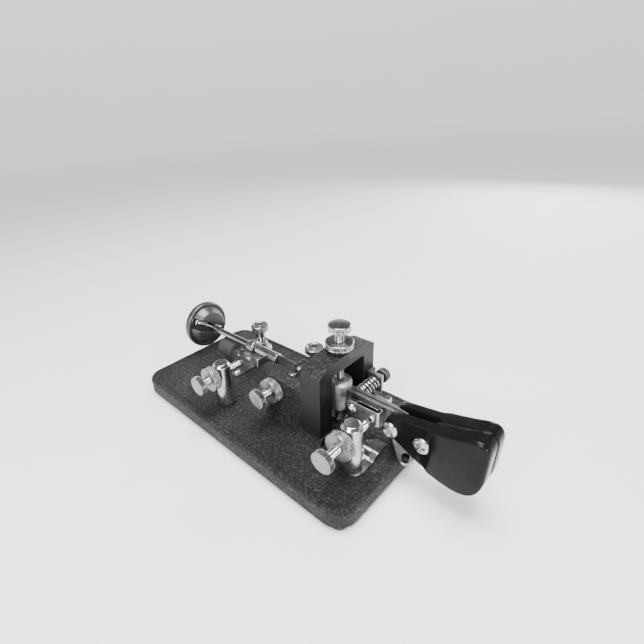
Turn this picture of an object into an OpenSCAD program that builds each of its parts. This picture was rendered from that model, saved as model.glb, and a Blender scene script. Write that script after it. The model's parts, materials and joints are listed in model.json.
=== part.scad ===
// Semi-automatic morse key. Millimetres, +Z up. The operator sits on the -Y side.
// The shapes are drawn from the middle of the base. Each one is then moved so that the origin is
// the centre of the whole key's footprint, on the surface that the feet stand on.

/* [Base] */
// Width of the base, across the lever
base_w = 84; // [80:1:92]
// Length of the base, along the lever
base_l = 158; // [156:1:170]
// Thickness of the base casting
base_t = 10; // [9:0.5:13]
// Radius of the base's corners in plan
base_corner = 10; // [6:0.5:14]
// Radius of the base's top shoulder
base_shoulder = 2.2; // [1:0.1:3]
// How far the rubber feet stand below the base
foot_h = 1.5; // [1:0.1:3]

/* [Lever line] */
// Distance of the lever's line from the middle of the base
lever_x = 6; // [4:0.5:8]
// Height of the lever's line over the base's top
axis_h = 19; // [18:0.5:21]
// Place of the lever's vertical pivot along the base
pivot_y = -39.5; // [-41:0.5:-38]

/* [Frame] */
// Outside width of the arch
arch_w = 42; // [40:1:46]
// Depth of the arch along the lever
arch_d = 12; // [11:0.5:13]
// Height of the arch's top corners over the base's top
arch_h = 38; // [37:0.5:42]
// Rise of the arch's crowned top
arch_crown = 4; // [2:0.5:6]
// Clear width between the legs
arch_gap = 25; // [24:0.5:27]
// Height of the wall that runs back from the near leg
ear_h = 26; // [25:0.5:28]

/* [Posts and screws] */
// Diameter of the two contact posts
post_d = 9.6; // [9:0.2:11]
// Height of the contact posts over the base's top
post_h = 26.5; // [25.5:0.5:30]
// Diameter of the thumbscrews' heads
head_d = 10.4; // [10:0.2:13]
// Diameter of the thumbscrews' locknuts
locknut_d = 13.4; // [12:0.2:14]
// Diameter of the thumbscrews' shanks
shank_d = 4.4; // [4:0.1:5]

/* [Pendulum] */
// Diameter of the pendulum rod
rod_d = 4; // [3.5:0.1:4.5]
// Radius of the weight at the end of the rod
weight_r = 15.5; // [14:0.5:16]

/* [Hidden] */
$fn = 64;
eps = 0.02;
fit = 0.05;
base_top = foot_h + base_t;
base_mid_y = 1;
axis_z = base_top + axis_h;
front_y = pivot_y - arch_d / 2 + 0.5;
rear_y = front_y + arch_d;
leg_near_x = lever_x - arch_w / 2;
leg_far_x = lever_x + arch_w / 2;
arch_top = base_top + arch_h + arch_crown;
bridge_t = 7;
boss_h = 1.5;
ear_t = 7;
ear_rear_y = rear_y + 24;
pocket_d = 4.5;
pocket_side = 21;
pocket_end = 18;
crease_in = 3.5;
crease_out = 4.1;

dash_post_pos = [-17.2, -64];
dot_post_pos = [-23.9, 17];
ear_screw_y = -14.3;
dot_axis_z = axis_z + 1;
terminal_pos = [[27, 43], [28, -4]];
closer_pivot = [20, -68];
damper_y = 48;
damper_z = axis_z - 9.3;
bracket_screw_x = [-2.5, 15.5];
bracket_screw_y = 35;
far_bracket_screw_x = leg_far_x - 1.75;
far_bracket_screw_z = [axis_z - 9.8, axis_z - 6.2];
weight_y = 76;
weight_t = 5;
home_y = 16.75;
foot_pos = [[-36, -72], [36, -72], [-36, 74], [36, 74]];

// Moves a finished piece from the base's middle to the row's origin
module placed() {
    translate([0, home_y, 0]) children();
}

// ---------- shared shapes ----------

// Rounded rectangle in plan, made of true arcs
module rounded_rect(w, l, r) {
    square([w - 2 * r, l], center = true);
    square([w, l - 2 * r], center = true);
    for (x = [-1, 1], y = [-1, 1])
        translate([x * (w / 2 - r), y * (l / 2 - r)]) circle(r);
}

// Slab with a rounded top shoulder of radius e all the way round
module shouldered_slab(w, l, t, r, e) {
    linear_extrude(t - e) rounded_rect(w, l, r);
    linear_extrude(t) rounded_rect(w - 2 * e, l - 2 * e, r - e);
    for (s = [-1, 1]) {
        translate([s * (w / 2 - e), 0, t - e]) rotate([90, 0, 0])
            cylinder(r = e, h = l - 2 * r, center = true);
        translate([0, s * (l / 2 - e), t - e]) rotate([0, 90, 0])
            cylinder(r = e, h = w - 2 * r, center = true);
    }
    for (x = [-1, 1], y = [-1, 1])
        translate([x * (w / 2 - r), y * (l / 2 - r), t - e])
            rotate_extrude() translate([r - e, 0]) circle(e);
}

// Turned disc with its edges chamfered, from z = 0 up
module chamfered_disc(r, h, c) {
    rotate_extrude() polygon([[0, 0], [r - c, 0], [r, c], [r, h - c], [r - c, h], [0, h]]);
}

// Turned nut with chamfered edges and a plain bore
module turned_nut(r, h, c, bore_r) {
    difference() {
        chamfered_disc(r, h, c);
        translate([0, 0, -1]) cylinder(r = bore_r, h = h + 2);
    }
}

// Round-headed screw: head up from z = 0, shank down, with a straight slot
module round_head_screw(head_r, head_h, shank_r, shank_l, slot_w = 0.8) {
    dome_r = (head_r * head_r + head_h * head_h) / (2 * head_h);
    difference() {
        intersection() {
            translate([0, 0, head_h - dome_r]) sphere(dome_r);
            cylinder(r = head_r, h = head_h);
        }
        translate([-head_r, -slot_w / 2, head_h - 0.8]) cube([2 * head_r, slot_w, 2]);
    }
    translate([0, 0, -shank_l]) cylinder(r = shank_r, h = shank_l + eps);
}

// Places a child that stands up along Z so that it points along -X instead
module point_near(x, y, z) {
    translate([x, y, z]) rotate([0, -90, 0]) children();
}

// ---------- base ----------

module base() {
    color("#2b2b2b") difference() {
        translate([0, base_mid_y, foot_h])
            shouldered_slab(base_w, base_l, base_t, base_corner, base_shoulder);
        // fine crease that outlines the top face
        translate([0, base_mid_y, base_top - 0.4]) linear_extrude(1) difference() {
            rounded_rect(base_w - 2 * crease_in, base_l - 2 * crease_in, base_corner - crease_in);
            rounded_rect(base_w - 2 * crease_out, base_l - 2 * crease_out, base_corner - crease_out);
        }
        // hollow underside
        translate([0, base_mid_y, foot_h - 1]) linear_extrude(pocket_d + 1)
            rounded_rect(base_w - pocket_side, base_l - pocket_end, 6);
        // holes for the posts, the terminals and the frame's screws
        for (p = [dash_post_pos, dot_post_pos])
            translate([p[0], p[1], 0]) cylinder(r = 3.2, h = 30);
        for (p = terminal_pos)
            translate([p[0], p[1], 0]) cylinder(r = 2.1, h = 30);
        for (x = [leg_near_x + 4.5, leg_far_x - 4.5])
            translate([x, pivot_y + 0.5, 0]) cylinder(r = 2.3, h = 30);
        translate([lever_x, pivot_y, 0]) cylinder(r = 2.5, h = 30);
        for (p = foot_pos) translate([p[0], p[1], 0]) cylinder(r = 1.3, h = 7);
        translate([closer_pivot[0], closer_pivot[1], 6]) cylinder(r = 1.5, h = 30);
        for (x = bracket_screw_x) translate([x, bracket_screw_y, 6]) cylinder(r = 1.1, h = 30);
    }
}

module rubber_feet() {
    color("#1c1c1c") for (p = foot_pos) translate([p[0], p[1], 0]) difference() {
        chamfered_disc(4, foot_h, 0.4);
        translate([0, 0, -1]) cylinder(r = 2.4, h = 1.8);
        translate([0, 0, -1]) cylinder(r = 1.3, h = 6);
    }
}

module foot_screws() {
    color("silver") for (p = foot_pos) translate([p[0], p[1], 0.1]) {
        cylinder(r = 2.3, h = 0.7);
        cylinder(r = 1.25, h = 6);
    }
}

// ---------- frame ----------

// Front view of the arch, drawn with its legs standing on y = 0
module arch_profile() {
    crown_r = (pow(arch_w / 2, 2) + pow(arch_crown, 2)) / (2 * arch_crown);
    draft = 0.8;
    inner_r = 2;
    opening_h = arch_h + arch_crown - bridge_t;
    difference() {
        intersection() {
            polygon([[-arch_w / 2 - draft, 0], [arch_w / 2 + draft, 0], [arch_w / 2, arch_h - 3],
                     [arch_w / 2, arch_h + 10], [-arch_w / 2, arch_h + 10], [-arch_w / 2, arch_h - 3]]);
            translate([0, arch_h + arch_crown - crown_r]) circle(crown_r, $fn = 180);
        }
        translate([-arch_gap / 2, -1])
            square([arch_gap, opening_h - inner_r + 1]);
        translate([-arch_gap / 2 + inner_r, -1])
            square([arch_gap - 2 * inner_r, opening_h + 1]);
        for (s = [-1, 1])
            translate([s * (arch_gap / 2 - inner_r), opening_h - inner_r]) circle(inner_r);
    }
}

// Wall that runs back from a leg; its top rear corner is rounded
module ear_wall(t, h, l) {
    r = 5;
    rotate([90, 0, 90]) linear_extrude(t) {
        square([l - r, h]);
        square([l, h - r]);
        translate([l - r, h - r]) circle(r);
    }
}

// Foot that spreads out below a wall, along the wall's length from y = 0 back
module wall_foot(w, l, h) {
    translate([0, l, 0]) rotate([90, 0, 0])
        linear_extrude(l) polygon([[-w, 0], [w, 0], [w - 1.2, h], [-w + 1.2, h]]);
}

module frame() {
    color("#262626") difference() {
        union() {
            translate([lever_x, rear_y, base_top]) rotate([90, 0, 0])
                linear_extrude(arch_d) arch_profile();
            translate([leg_near_x, rear_y - 1, base_top])
                ear_wall(ear_t, ear_h, ear_rear_y - rear_y + 1);
            translate([leg_far_x - 6, rear_y - 1, base_top]) ear_wall(6, 14, 12);
            translate([leg_near_x + 4.2, front_y - 1, base_top])
                wall_foot(6, ear_rear_y - front_y + 2, 4);
            translate([leg_far_x - 4, front_y - 1, base_top]) wall_foot(6, arch_d + 13, 4);
            // boss that the pivot screw's locknut stands on
            translate([lever_x, pivot_y, arch_top - 3]) cylinder(r = 5.6, h = 3 + boss_h);
        }
        // threaded hole for the pivot screw
        translate([lever_x, pivot_y, arch_top - 12]) cylinder(r = 2.25 + fit, h = 20);
        // threaded hole for the travel screw
        translate([leg_near_x - 5, ear_screw_y, axis_z]) rotate([0, 90, 0])
            cylinder(r = shank_d / 2 + fit, h = 20);
        // tapped holes for the far bracket, in the far leg's front face
        for (z = far_bracket_screw_z)
            translate([far_bracket_screw_x, front_y - 1, z]) rotate([-90, 0, 0]) cylinder(r = 1, h = 6);
        // tapped holes under the legs
        for (x = [leg_near_x + 4.5, leg_far_x - 4.5])
            translate([x, pivot_y + 0.5, base_top - 1]) cylinder(r = 2, h = 9);
    }
}

module frame_screws() {
    color("silver") for (x = [leg_near_x + 4.5, leg_far_x - 4.5])
        translate([x, pivot_y + 0.5, foot_h + pocket_d - 2.2]) {
            cylinder(r = 3.8, h = 2.2);
            cylinder(r = 1.95, h = 14);
        }
}

// ---------- lever pivots ----------

module pivot_screw() {
    color("silver") translate([lever_x, pivot_y, 0]) {
        tip_z = axis_z + 5.3;
        head_z = arch_top + 10.2;
        translate([0, 0, tip_z + 2]) cylinder(r = 2.25, h = head_z - tip_z);
        translate([0, 0, tip_z]) cylinder(r1 = 0.5, r2 = 2.25, h = 2 + eps);
        translate([0, 0, head_z]) chamfered_disc(5.4, 3.4, 0.5);
        translate([0, 0, head_z - 1.5]) cylinder(r = 3.4, h = 2);
    }
}

module pivot_locknut() {
    color("silver") translate([lever_x, pivot_y, arch_top + boss_h + 0.1])
        turned_nut(6.8, 3.2, 0.5, 2.25 + fit);
}

module lower_pivot() {
    color("silver") translate([lever_x, pivot_y, 0]) {
        translate([0, 0, foot_h + pocket_d - 2]) cylinder(r = 4, h = 2);
        translate([0, 0, foot_h + pocket_d - 1]) cylinder(r = 2.45, h = 13);
        translate([0, 0, base_top]) cylinder(r = 4.2, h = 3);
        translate([0, 0, foot_h + pocket_d + 12 - eps]) cylinder(r1 = 2.45, r2 = 0.5, h = 2);
    }
}

// ---------- lever ----------

hub_r = 6.4;
bar_h = 8;
bar_t = 1.8;
bar_gap = 0.9;
bar_out = bar_t + bar_gap / 2;

module lever_hub() {
    color("silver") translate([lever_x, pivot_y, 0]) difference() {
        union() {
            translate([0, 0, axis_z - 8]) chamfered_disc(hub_r, 14.5, 0.8);
            translate([0, 0, axis_z - 11]) cylinder(r = 4.4, h = 4);
        }
        // centre for the pivot screw's cone
        translate([0, 0, axis_z + 5]) cylinder(r = 2.25 + fit + 0.4, h = 5);
        // centre for the lower pivot's cone
        translate([0, 0, axis_z - 12]) cylinder(r = 2.7, h = 4);
        // slot that takes the front bars and the tail
        translate([-bar_out - 0.02, -10, axis_z - bar_h / 2 - 0.02])
            cube([2 * bar_out + 0.04, 20, bar_h + 0.04]);
    }
}

// One side plate of the lever, its front end narrowed to a point
module lever_bar(side) {
    x_in = side * bar_gap / 2;
    x_out = side * bar_out;
    rear = -0.6;
    taper = -31;
    tip = -37.5;
    translate([lever_x, pivot_y, axis_z - bar_h / 2]) linear_extrude(bar_h)
        polygon([[x_in, rear], [x_out, rear], [x_out, taper], [x_in + side * 0.15, tip], [x_in, tip]]);
}

module lever_bars() {
    color("silver") difference() {
        union() {
            lever_bar(-1);
            lever_bar(1);
            // deeper front end of each plate, between the finger pieces
            for (s = [-bar_out, bar_gap / 2]) translate([lever_x + s, 0, axis_z]) rotate([90, 0, 90])
                linear_extrude(bar_t) polygon([[-60.5, -3.5], [-65.5, -9], [-70.5, -9], [-70.5, -3.5]]);
            // packing block between the plates, so that both are one piece
            translate([lever_x - bar_gap / 2 - eps, pivot_y - 12, axis_z - bar_h / 2])
                cube([bar_gap + 2 * eps, 5, bar_h - 2]);
        }
        for (y = paddle_screw_y)
            translate([lever_x - 10, y, paddle_screw_z]) rotate([0, 90, 0])
                cylinder(r = 1.6, h = 20);
    }
}

module lever_tail() {
    color("silver") {
        translate([lever_x - bar_out, pivot_y + 0.2, axis_z - bar_h / 2])
            cube([2 * bar_out, 27, bar_h]);
        translate([lever_x - bar_out - 1, pivot_y + 21.2, axis_z - bar_h / 2 - 1])
            cube([2 * bar_out + 2, 6, bar_h + 2]);
    }
}

module lever_rivets() {
    color("silver") for (s = [-1, 1], z = [-2.8, 2.8])
        translate([lever_x + s * (bar_out + 1), pivot_y + 24.2, axis_z + z])
            rotate([0, s * 90, 0]) chamfered_disc(1.5, 0.9, 0.3);
}

// ---------- finger pieces ----------

neck_t = 4.6;
blade_t = 8.0;
paddle_screw_y = [-73.2, -87.2];
paddle_screw_z = axis_z - 2.3;

// Side outline of a finger piece, in Y and in Z over the ground
paddle_top_y = -91;
paddle_front_y = -113.5;
module paddle_outline() {
    corner = 5;
    front_top = [paddle_front_y + corner, axis_z + 8.6];
    front_low = [paddle_front_y + corner + 1.6, axis_z - 12];
    polygon([[-69, axis_z - 2], [-72.5, axis_z + 5.4], [paddle_top_y, axis_z + 8.4],
             [front_top[0], front_top[1] + corner - 0.4], front_top, front_low,
             [front_low[0] + 2, front_low[1] - corner], [-101, axis_z - 17], [-86.5, axis_z - 13.6]]);
    translate(front_top) circle(corner);
    translate(front_low) circle(corner);
    polygon([[paddle_front_y, front_top[1]], [front_top[0] + 1, front_top[1]],
             [front_low[0] + 1, front_low[1]], [front_low[0] - corner, front_low[1]]]);
}

// A finger piece: side is -1 for the near one and 1 for the far one
module paddle(side) {
    inner = bar_out + 0.02;
    difference() {
        // neck and blade share the outline; the blade is thicker on both faces
        union() {
            intersection() {
                paddle_plate(side, inner, neck_t);
                translate([lever_x - 30, paddle_top_y - 0.5, 0]) cube([60, 60, 80]);
            }
            intersection() {
                paddle_plate(side, 0.15, blade_t + 0.2);
                translate([lever_x - 30, paddle_top_y - 40, 0]) cube([60, 40, 80]);
            }
        }
        for (y = paddle_screw_y)
            translate([lever_x - 20, y, paddle_screw_z]) rotate([0, 90, 0])
                cylinder(r = 1.6, h = 40);
    }
}

module paddle_plate(side, from, thick) {
    x0 = side > 0 ? lever_x + from : lever_x - from - thick;
    translate([x0, 0, 0]) rotate([90, 0, 90]) linear_extrude(thick) paddle_outline();
}

module near_paddle() {
    color("#151515") paddle(-1);
}

module far_paddle() {
    color("#151515") paddle(1);
}

module paddle_screws() {
    color("silver") for (y = paddle_screw_y)
        point_near(lever_x - bar_out - neck_t - 0.04, y, paddle_screw_z)
            round_head_screw(3.8, 1.9, 1.5, 2 * (bar_out + neck_t) + 1.6);
}

module paddle_nuts() {
    color("silver") for (y = paddle_screw_y)
        translate([lever_x + bar_out + neck_t + 0.04, y, paddle_screw_z])
            rotate([0, 90, 0]) turned_nut(3, 1.6, 0.3, 1.5 + fit);
}

// ---------- lever's contact leaf and lug ----------

leaf_x = lever_x - 8.2;
leaf_t = 0.5;
leaf_h = 8;
leaf_r = 2;
leaf_bend_y = -67.7;
leaf_screw_y = -53;

// Hairpin of flat strip: long leg, round bend of radius r, and a short leg back
module hairpin(r, t, long_leg, short_leg, h) {
    linear_extrude(h) {
        translate([-r, 0]) square([t, long_leg]);
        translate([r - t, 0]) square([t, short_leg]);
        difference() {
            circle(r);
            circle(r - t);
            translate([-2 * r, 0]) square([4 * r, 2 * r]);
        }
    }
}

module dash_leaf() {
    pad_x = leaf_x + 2 * leaf_r;
    color("silver") translate([0, 0, axis_z]) difference() {
        union() {
            translate([leaf_x + leaf_r, leaf_bend_y + leaf_r, -leaf_h / 2])
                hairpin(leaf_r, leaf_t, leaf_screw_y - leaf_bend_y - leaf_r,
                        leaf_screw_y - leaf_bend_y - leaf_r + 3, leaf_h);
            // rounded rear end of the near leg, under the screw's head
            translate([leaf_x, leaf_screw_y, 0]) rotate([0, 90, 0]) cylinder(r = leaf_h / 2, h = leaf_t);
            // spacer between the legs, and the pad that stands them off the lever
            translate([leaf_x + leaf_t - eps, leaf_screw_y - 2.2, -leaf_h / 2])
                cube([2 * leaf_r - 2 * leaf_t + 2 * eps, 4.4, leaf_h]);
            translate([pad_x - eps, leaf_bend_y + leaf_r, -leaf_h / 2])
                cube([lever_x - bar_out - pad_x, leaf_screw_y - leaf_bend_y - leaf_r + 3, leaf_h]);
        }
        translate([leaf_x - 5, leaf_screw_y, 0]) rotate([0, 90, 0]) cylinder(r = 1.2, h = 20);
    }
}

module dash_leaf_screw() {
    color("silver") point_near(leaf_x - 0.02, leaf_screw_y, axis_z)
        round_head_screw(2.6, 1.7, 1.15, lever_x - bar_out - leaf_x - 0.04);
}

dash_contact_x = leaf_x - 1;

module dash_contact() {
    color("#d8d8d8") translate([dash_contact_x, dash_post_pos[1], axis_z]) rotate([0, 90, 0])
        cylinder(r = 1.5, h = 1);
}

far_lug_l = 4.6;

module far_lug() {
    color("silver") {
        translate([lever_x + bar_out, -65, axis_z - 3]) cube([far_lug_l, 2.4, 6.5]);
        translate([lever_x + bar_out, -65, axis_z - 3]) cube([0.9, 6, 7.5]);
    }
}

// ---------- pendulum ----------

tail_end_y = pivot_y + 27.2;
ferrule_y = 3;
ferrule_l = 17.5;
rod_end_y = weight_y + 2;

module main_spring() {
    color("silver") translate([lever_x - 0.2, tail_end_y + 0.05, axis_z - 3])
        cube([0.4, ferrule_y - tail_end_y + 0.5, 6]);
}

module spring_ferrule() {
    color("silver") translate([lever_x, ferrule_y + 0.6, axis_z]) rotate([-90, 0, 0])
        difference() {
            union() {
                chamfered_disc(3.1, ferrule_l, 0.4);
                cylinder(r = 2.6, h = ferrule_l);
            }
            // lengthwise grooves on the top and the sides
            for (a = [0, 60, -60]) rotate([0, 0, a - 90])
                translate([2.7, -0.4, 1.5]) cube([1, 0.8, ferrule_l - 3]);
            translate([0, 0, ferrule_l - 6]) cylinder(r = rod_d / 2 + eps, h = 10);
        }
}

module pendulum_rod() {
    y0 = ferrule_y + 0.6 + ferrule_l - 5.9;
    color("silver") translate([lever_x, y0, axis_z]) rotate([-90, 0, 0])
        cylinder(r = rod_d / 2, h = rod_end_y - y0);
}

module rod_collar() {
    color("silver") translate([lever_x, ferrule_y + ferrule_l + 2, axis_z]) rotate([-90, 0, 0])
        difference() {
            rotate_extrude() polygon([[0, 0], [3.4, 0], [4.2, 1], [4.2, 4.5], [2.6, 7.5], [0, 7.5]]);
            translate([0, 0, -1]) cylinder(r = rod_d / 2 + eps, h = 12);
        }
}

// Hairpin spring on the near side of the tail, which the travel screw presses
module tail_spring() {
    r = 3.3;
    face_x = lever_x - bar_out - 1.02;
    color("silver") difference() {
        union() {
            translate([face_x - r + 0.02, tail_end_y + 2, axis_z - 8.5])
                rotate([0, 0, 180]) hairpin(r - 0.02, 0.6, 8, 8, 6);
            // upright tab that the near rivet holds against the tail
            translate([face_x - 0.6, tail_end_y - 5.8, axis_z - 8.5]) cube([0.6, 5, 8.5]);
        }
        translate([face_x - 1.5, pivot_y + 24.2, axis_z - 2.8]) rotate([0, 90, 0])
            cylinder(r = 1.55, h = 20);
    }
}

dot_leaf_x = lever_x - 12;
dot_contact_y = dot_post_pos[1];

// Flat leaf that stands off the ferrule and carries the dot contact
module dot_leaf() {
    y0 = ferrule_y + 5;
    color("silver") {
        translate([dot_leaf_x, y0, dot_axis_z - 2.5]) cube([0.5, 12, 5]);
        translate([dot_leaf_x, y0, dot_axis_z - 2.5]) cube([lever_x - 3.12 - dot_leaf_x, 0.5, 4]);
    }
}

module dot_contact() {
    color("#d8d8d8") translate([dot_leaf_x - 0.9, dot_contact_y - 1, dot_axis_z])
        rotate([0, 90, 0]) cylinder(r = 1.5, h = 0.9);
}

// ---------- weight on the pendulum ----------

slot_turn = 27;
bar_turn = 34;
slot_h = 7.2;

module weight() {
    rim_t = 3;
    color("#1f1f1f") translate([lever_x, weight_y, axis_z]) rotate([90, 0, 0])
        difference() {
            union() {
                rotate_extrude() polygon([[0, -2], [weight_r - 2.5, -2], [weight_r, 0.5],
                                          [weight_r, weight_t - 0.8], [weight_r - 0.8, weight_t],
                                          [weight_r - rim_t, weight_t], [weight_r - rim_t - 1.2, 3],
                                          [0, 3]]);
                // two raised lobes, one over and one under the slot
                rotate([0, 0, -slot_turn]) difference() {
                    cylinder(r1 = weight_r - 1.6, r2 = weight_r - 5.6, h = 9);
                    translate([-20, -slot_h / 2, 2]) cube([40, slot_h, 10]);
                }
            }
            translate([0, 0, -5]) cylinder(r = rod_d / 2 + fit, h = 20);
        }
}

module weight_bar() {
    color("silver") translate([lever_x, weight_y, axis_z]) rotate([90, 0, 0])
        rotate([0, 0, -bar_turn]) difference() {
            translate([-11, -1.7, 3.02]) cube([22, 3.4, 2.2]);
            translate([0, 0, -5]) cylinder(r = rod_d / 2 + fit, h = 20);
        }
}

module weight_screws() {
    color("silver") translate([lever_x, weight_y, axis_z]) rotate([90, 0, 0])
        rotate([0, 0, -bar_turn]) for (s = [-1, 1])
            translate([s * 8, 0, 5.24]) intersection() {
                translate([0, 0, -1.2]) sphere(2);
                cylinder(r = 1.5, h = 2);
            }
}

// ---------- contact posts ----------

module contact_post(pos, screw_z) {
    color("silver") translate([pos[0], pos[1], 0]) difference() {
        union() {
            translate([0, 0, base_top + 1.3]) rotate_extrude()
                polygon([[0, 0], [post_d / 2 + 0.4, 0], [post_d / 2 + 0.8, 0.4], [post_d / 2, post_h - 2.8],
                         [post_d / 2 - 1.2, post_h - 1.3], [0, post_h - 1.3]]);
            translate([0, 0, foot_h + 1]) cylinder(r = 1.95, h = base_t + 1);
        }
        translate([-20, 0, screw_z]) rotate([0, 90, 0]) cylinder(r = shank_d / 2 + fit, h = 40);
    }
}

module dash_post() {
    contact_post(dash_post_pos, axis_z);
}

module dot_post() {
    contact_post(dot_post_pos, dot_axis_z);
}

// Insulating bushes: a flange under each post and a sleeve through the base
module post_bushes() {
    color("#201e1c") for (p = [dash_post_pos, dot_post_pos])
        translate([p[0], p[1], 0]) difference() {
            union() {
                translate([0, 0, base_top + 0.02]) cylinder(r = 4.6, h = 1.26);
                translate([0, 0, foot_h + pocket_d]) cylinder(r = 3.15, h = base_t - pocket_d + 0.1);
                translate([0, 0, foot_h + pocket_d - 1.2]) cylinder(r = 3.8, h = 1.18);
            }
            translate([0, 0, -1]) cylinder(r = 2, h = 40);
        }
}

module post_nuts() {
    color("silver") for (p = [dash_post_pos, dot_post_pos])
        translate([p[0], p[1], foot_h + 1]) difference() {
            cylinder(r = 3.4, h = 2.2, $fn = 6);
            translate([0, 0, -1]) cylinder(r = 1.97, h = 6);
        }
}

// ---------- thumbscrews ----------

// Threaded shank from the tip at x_tip back to the head at x_head
module screw_shank(x_head, x_tip, y, z) {
    color("silver") {
        translate([x_head, y, z]) rotate([0, 90, 0]) cylinder(r = shank_d / 2, h = x_tip - 2 - x_head);
        translate([x_tip - 2 - eps, y, z]) rotate([0, 90, 0]) cylinder(r = 1.4, h = 2 + eps);
    }
}

// Knurled head, its bore a running fit on the shank's end
module screw_head(x_head, y, z, t = 3.2) {
    color("silver") translate([x_head - 1, y, z]) rotate([0, 90, 0]) difference() {
        union() {
            chamfered_disc(head_d / 2, t, 0.6);
            cylinder(r = 3.5, h = t + 1.2);
        }
        translate([0, 0, 1 - fit]) cylinder(r = shank_d / 2 + fit, h = 20);
    }
}

module locknut(x_face, y, z, t = 4.2) {
    color("silver") translate([x_face, y, z]) rotate([0, 90, 0])
        turned_nut(locknut_d / 2, t, 0.5, shank_d / 2 + fit);
}

dash_head_x = -36.7;
dash_tip_x = dash_contact_x - 1.9;
module dash_screw() {
    screw_shank(dash_head_x, dash_tip_x, dash_post_pos[1], axis_z);
}
module dash_screw_head() {
    screw_head(dash_head_x, dash_post_pos[1], axis_z);
}
module dash_locknut() {
    locknut(-27, dash_post_pos[1], axis_z);
}

dot_head_x = -40;
dot_tip_x = dot_leaf_x - 4.2;
module dot_screw() {
    screw_shank(dot_head_x, dot_tip_x, dot_post_pos[1], dot_axis_z);
}
module dot_screw_head() {
    screw_head(dot_head_x, dot_post_pos[1], dot_axis_z);
}
module dot_locknut() {
    locknut(-33.6, dot_post_pos[1], dot_axis_z);
}

ear_head_x = -27;
ear_tip_x = lever_x - bar_out - 3.2;
module ear_screw() {
    screw_shank(ear_head_x, ear_tip_x, ear_screw_y, axis_z);
}
module ear_screw_head() {
    screw_head(ear_head_x, ear_screw_y, axis_z);
}
module ear_locknut() {
    locknut(leg_near_x - 4.4, ear_screw_y, axis_z);
}

// ---------- far side hardware ----------

far_arm_x = leg_far_x - 5;
far_screw_y = -49.6;

module far_bracket() {
    color("silver") difference() {
        union() {
            translate([far_arm_x, far_screw_y - 4, axis_z - 5]) cube([1.6, front_y - far_screw_y + 4, 10]);
            translate([far_arm_x, front_y - 1.62, axis_z - 12]) cube([5, 1.6, 17]);
        }
        translate([far_arm_x - 1, far_screw_y, axis_z]) rotate([0, 90, 0])
            cylinder(r = 2 + fit, h = 4);
        for (z = far_bracket_screw_z)
                translate([far_bracket_screw_x, front_y - 4, z]) rotate([-90, 0, 0]) cylinder(r = 1.1, h = 6);
    }
}

module far_bracket_screws() {
    color("silver") for (z = far_bracket_screw_z)
        translate([far_bracket_screw_x, front_y - 1.66, z]) rotate([90, 0, 0])
            round_head_screw(1.6, 1, 0.95, 4.5, 0.5);
}

module far_stop_screw() {
    color("silver") translate([far_arm_x - 4, far_screw_y, axis_z]) rotate([0, 90, 0]) {
        cylinder(r = 2, h = 11);
        translate([0, 0, 9.6]) chamfered_disc(3.7, 3.6, 0.5);
        translate([0, 0, 5.9]) chamfered_disc(2.7, 2.4, 0.3);
    }
}

// Coil spring round the stop screw's tip, drawn as a stack of round rings
module coil_spring() {
    rings = 5;
    first = lever_x + bar_out + 0.6;
    pitch = (far_arm_x - 0.9 - first) / rings;
    color("silver") for (i = [0:rings - 1])
        translate([first + 0.6 + i * pitch, far_screw_y, axis_z]) rotate([0, 90, 0])
            rotate_extrude() translate([3.2, 0]) circle(0.55, $fn = 24);
    // straight wire that joins the rings
    color("silver") translate([first, far_screw_y + 3.2, axis_z]) rotate([0, 90, 0])
        cylinder(r = 0.5, h = rings * pitch + 0.3, $fn = 24);
}

// ---------- damper ----------

module damper_bracket() {
    plate = 1.2;
    color("silver") difference() {
        union() {
            translate([-6, 30.5, base_top + 0.02]) cube([25, damper_y - 6.5 - 30.5, plate]);
            translate([0.5, damper_y - 7.7, base_top]) cube([11, plate, damper_z + 3 - base_top]);
            // stiffening rib along the foot's rear edge
            translate([-6, damper_y - 7.7, base_top + 0.6]) cube([25, plate, 2.6]);
            // triangular gusset beside the upright
            translate([11.5 - eps, damper_y - 6.5, base_top + 1]) rotate([90, 0, 0])
                linear_extrude(plate) polygon([[0, 0], [6.5, 0], [0, 9]]);
        }
        translate([lever_x, damper_y - 10, damper_z]) rotate([-90, 0, 0])
            cylinder(r = 1.5 + fit, h = 8);
        for (x = bracket_screw_x) translate([x, bracket_screw_y, 6]) cylinder(r = 1.2, h = 30);
    }
}

module damper_bracket_screws() {
    color("silver") for (x = bracket_screw_x) translate([x, bracket_screw_y, base_top + 1.24])
        round_head_screw(2.1, 1.2, 1.05, 6);
}

module damper_pin() {
    color("silver") translate([lever_x, damper_y - 9.2, damper_z]) rotate([-90, 0, 0]) {
        chamfered_disc(2.4, 1.4, 0.3);
        cylinder(r = 1.5, h = 16.2);
        translate([0, 0, 15.8]) chamfered_disc(2.4, 1.2, 0.3);
    }
}

module damper_roller() {
    color("#4a4a4a") translate([lever_x, damper_y - 6.2, damper_z]) rotate([-90, 0, 0])
        difference() {
            rotate_extrude() polygon([[0, 0], [5.6, 0], [6.4, 0.8], [6.4, 11.8], [5.6, 12.6], [0, 12.6]]);
            translate([0, 0, -1]) cylinder(r = 1.5 + fit, h = 20);
        }
}

// ---------- terminals ----------

terminal_h = 20;

module terminal_posts() {
    color("silver") for (p = terminal_pos) translate([p[0], p[1], 0]) {
        translate([0, 0, base_top + 0.02]) rotate_extrude()
            polygon([[0, 0], [7, 0], [7, 2.2], [6, 3.4], [4.2, 3.8], [4.2, 7], [3.6, 7.6], [0, 7.6]]);
        translate([0, 0, foot_h + 1]) cylinder(r = 2.05, h = base_t + terminal_h - 1);
        translate([0, 0, foot_h + 1]) cylinder(r = 3.4, h = pocket_d - 1.02, $fn = 6);
    }
}

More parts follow.
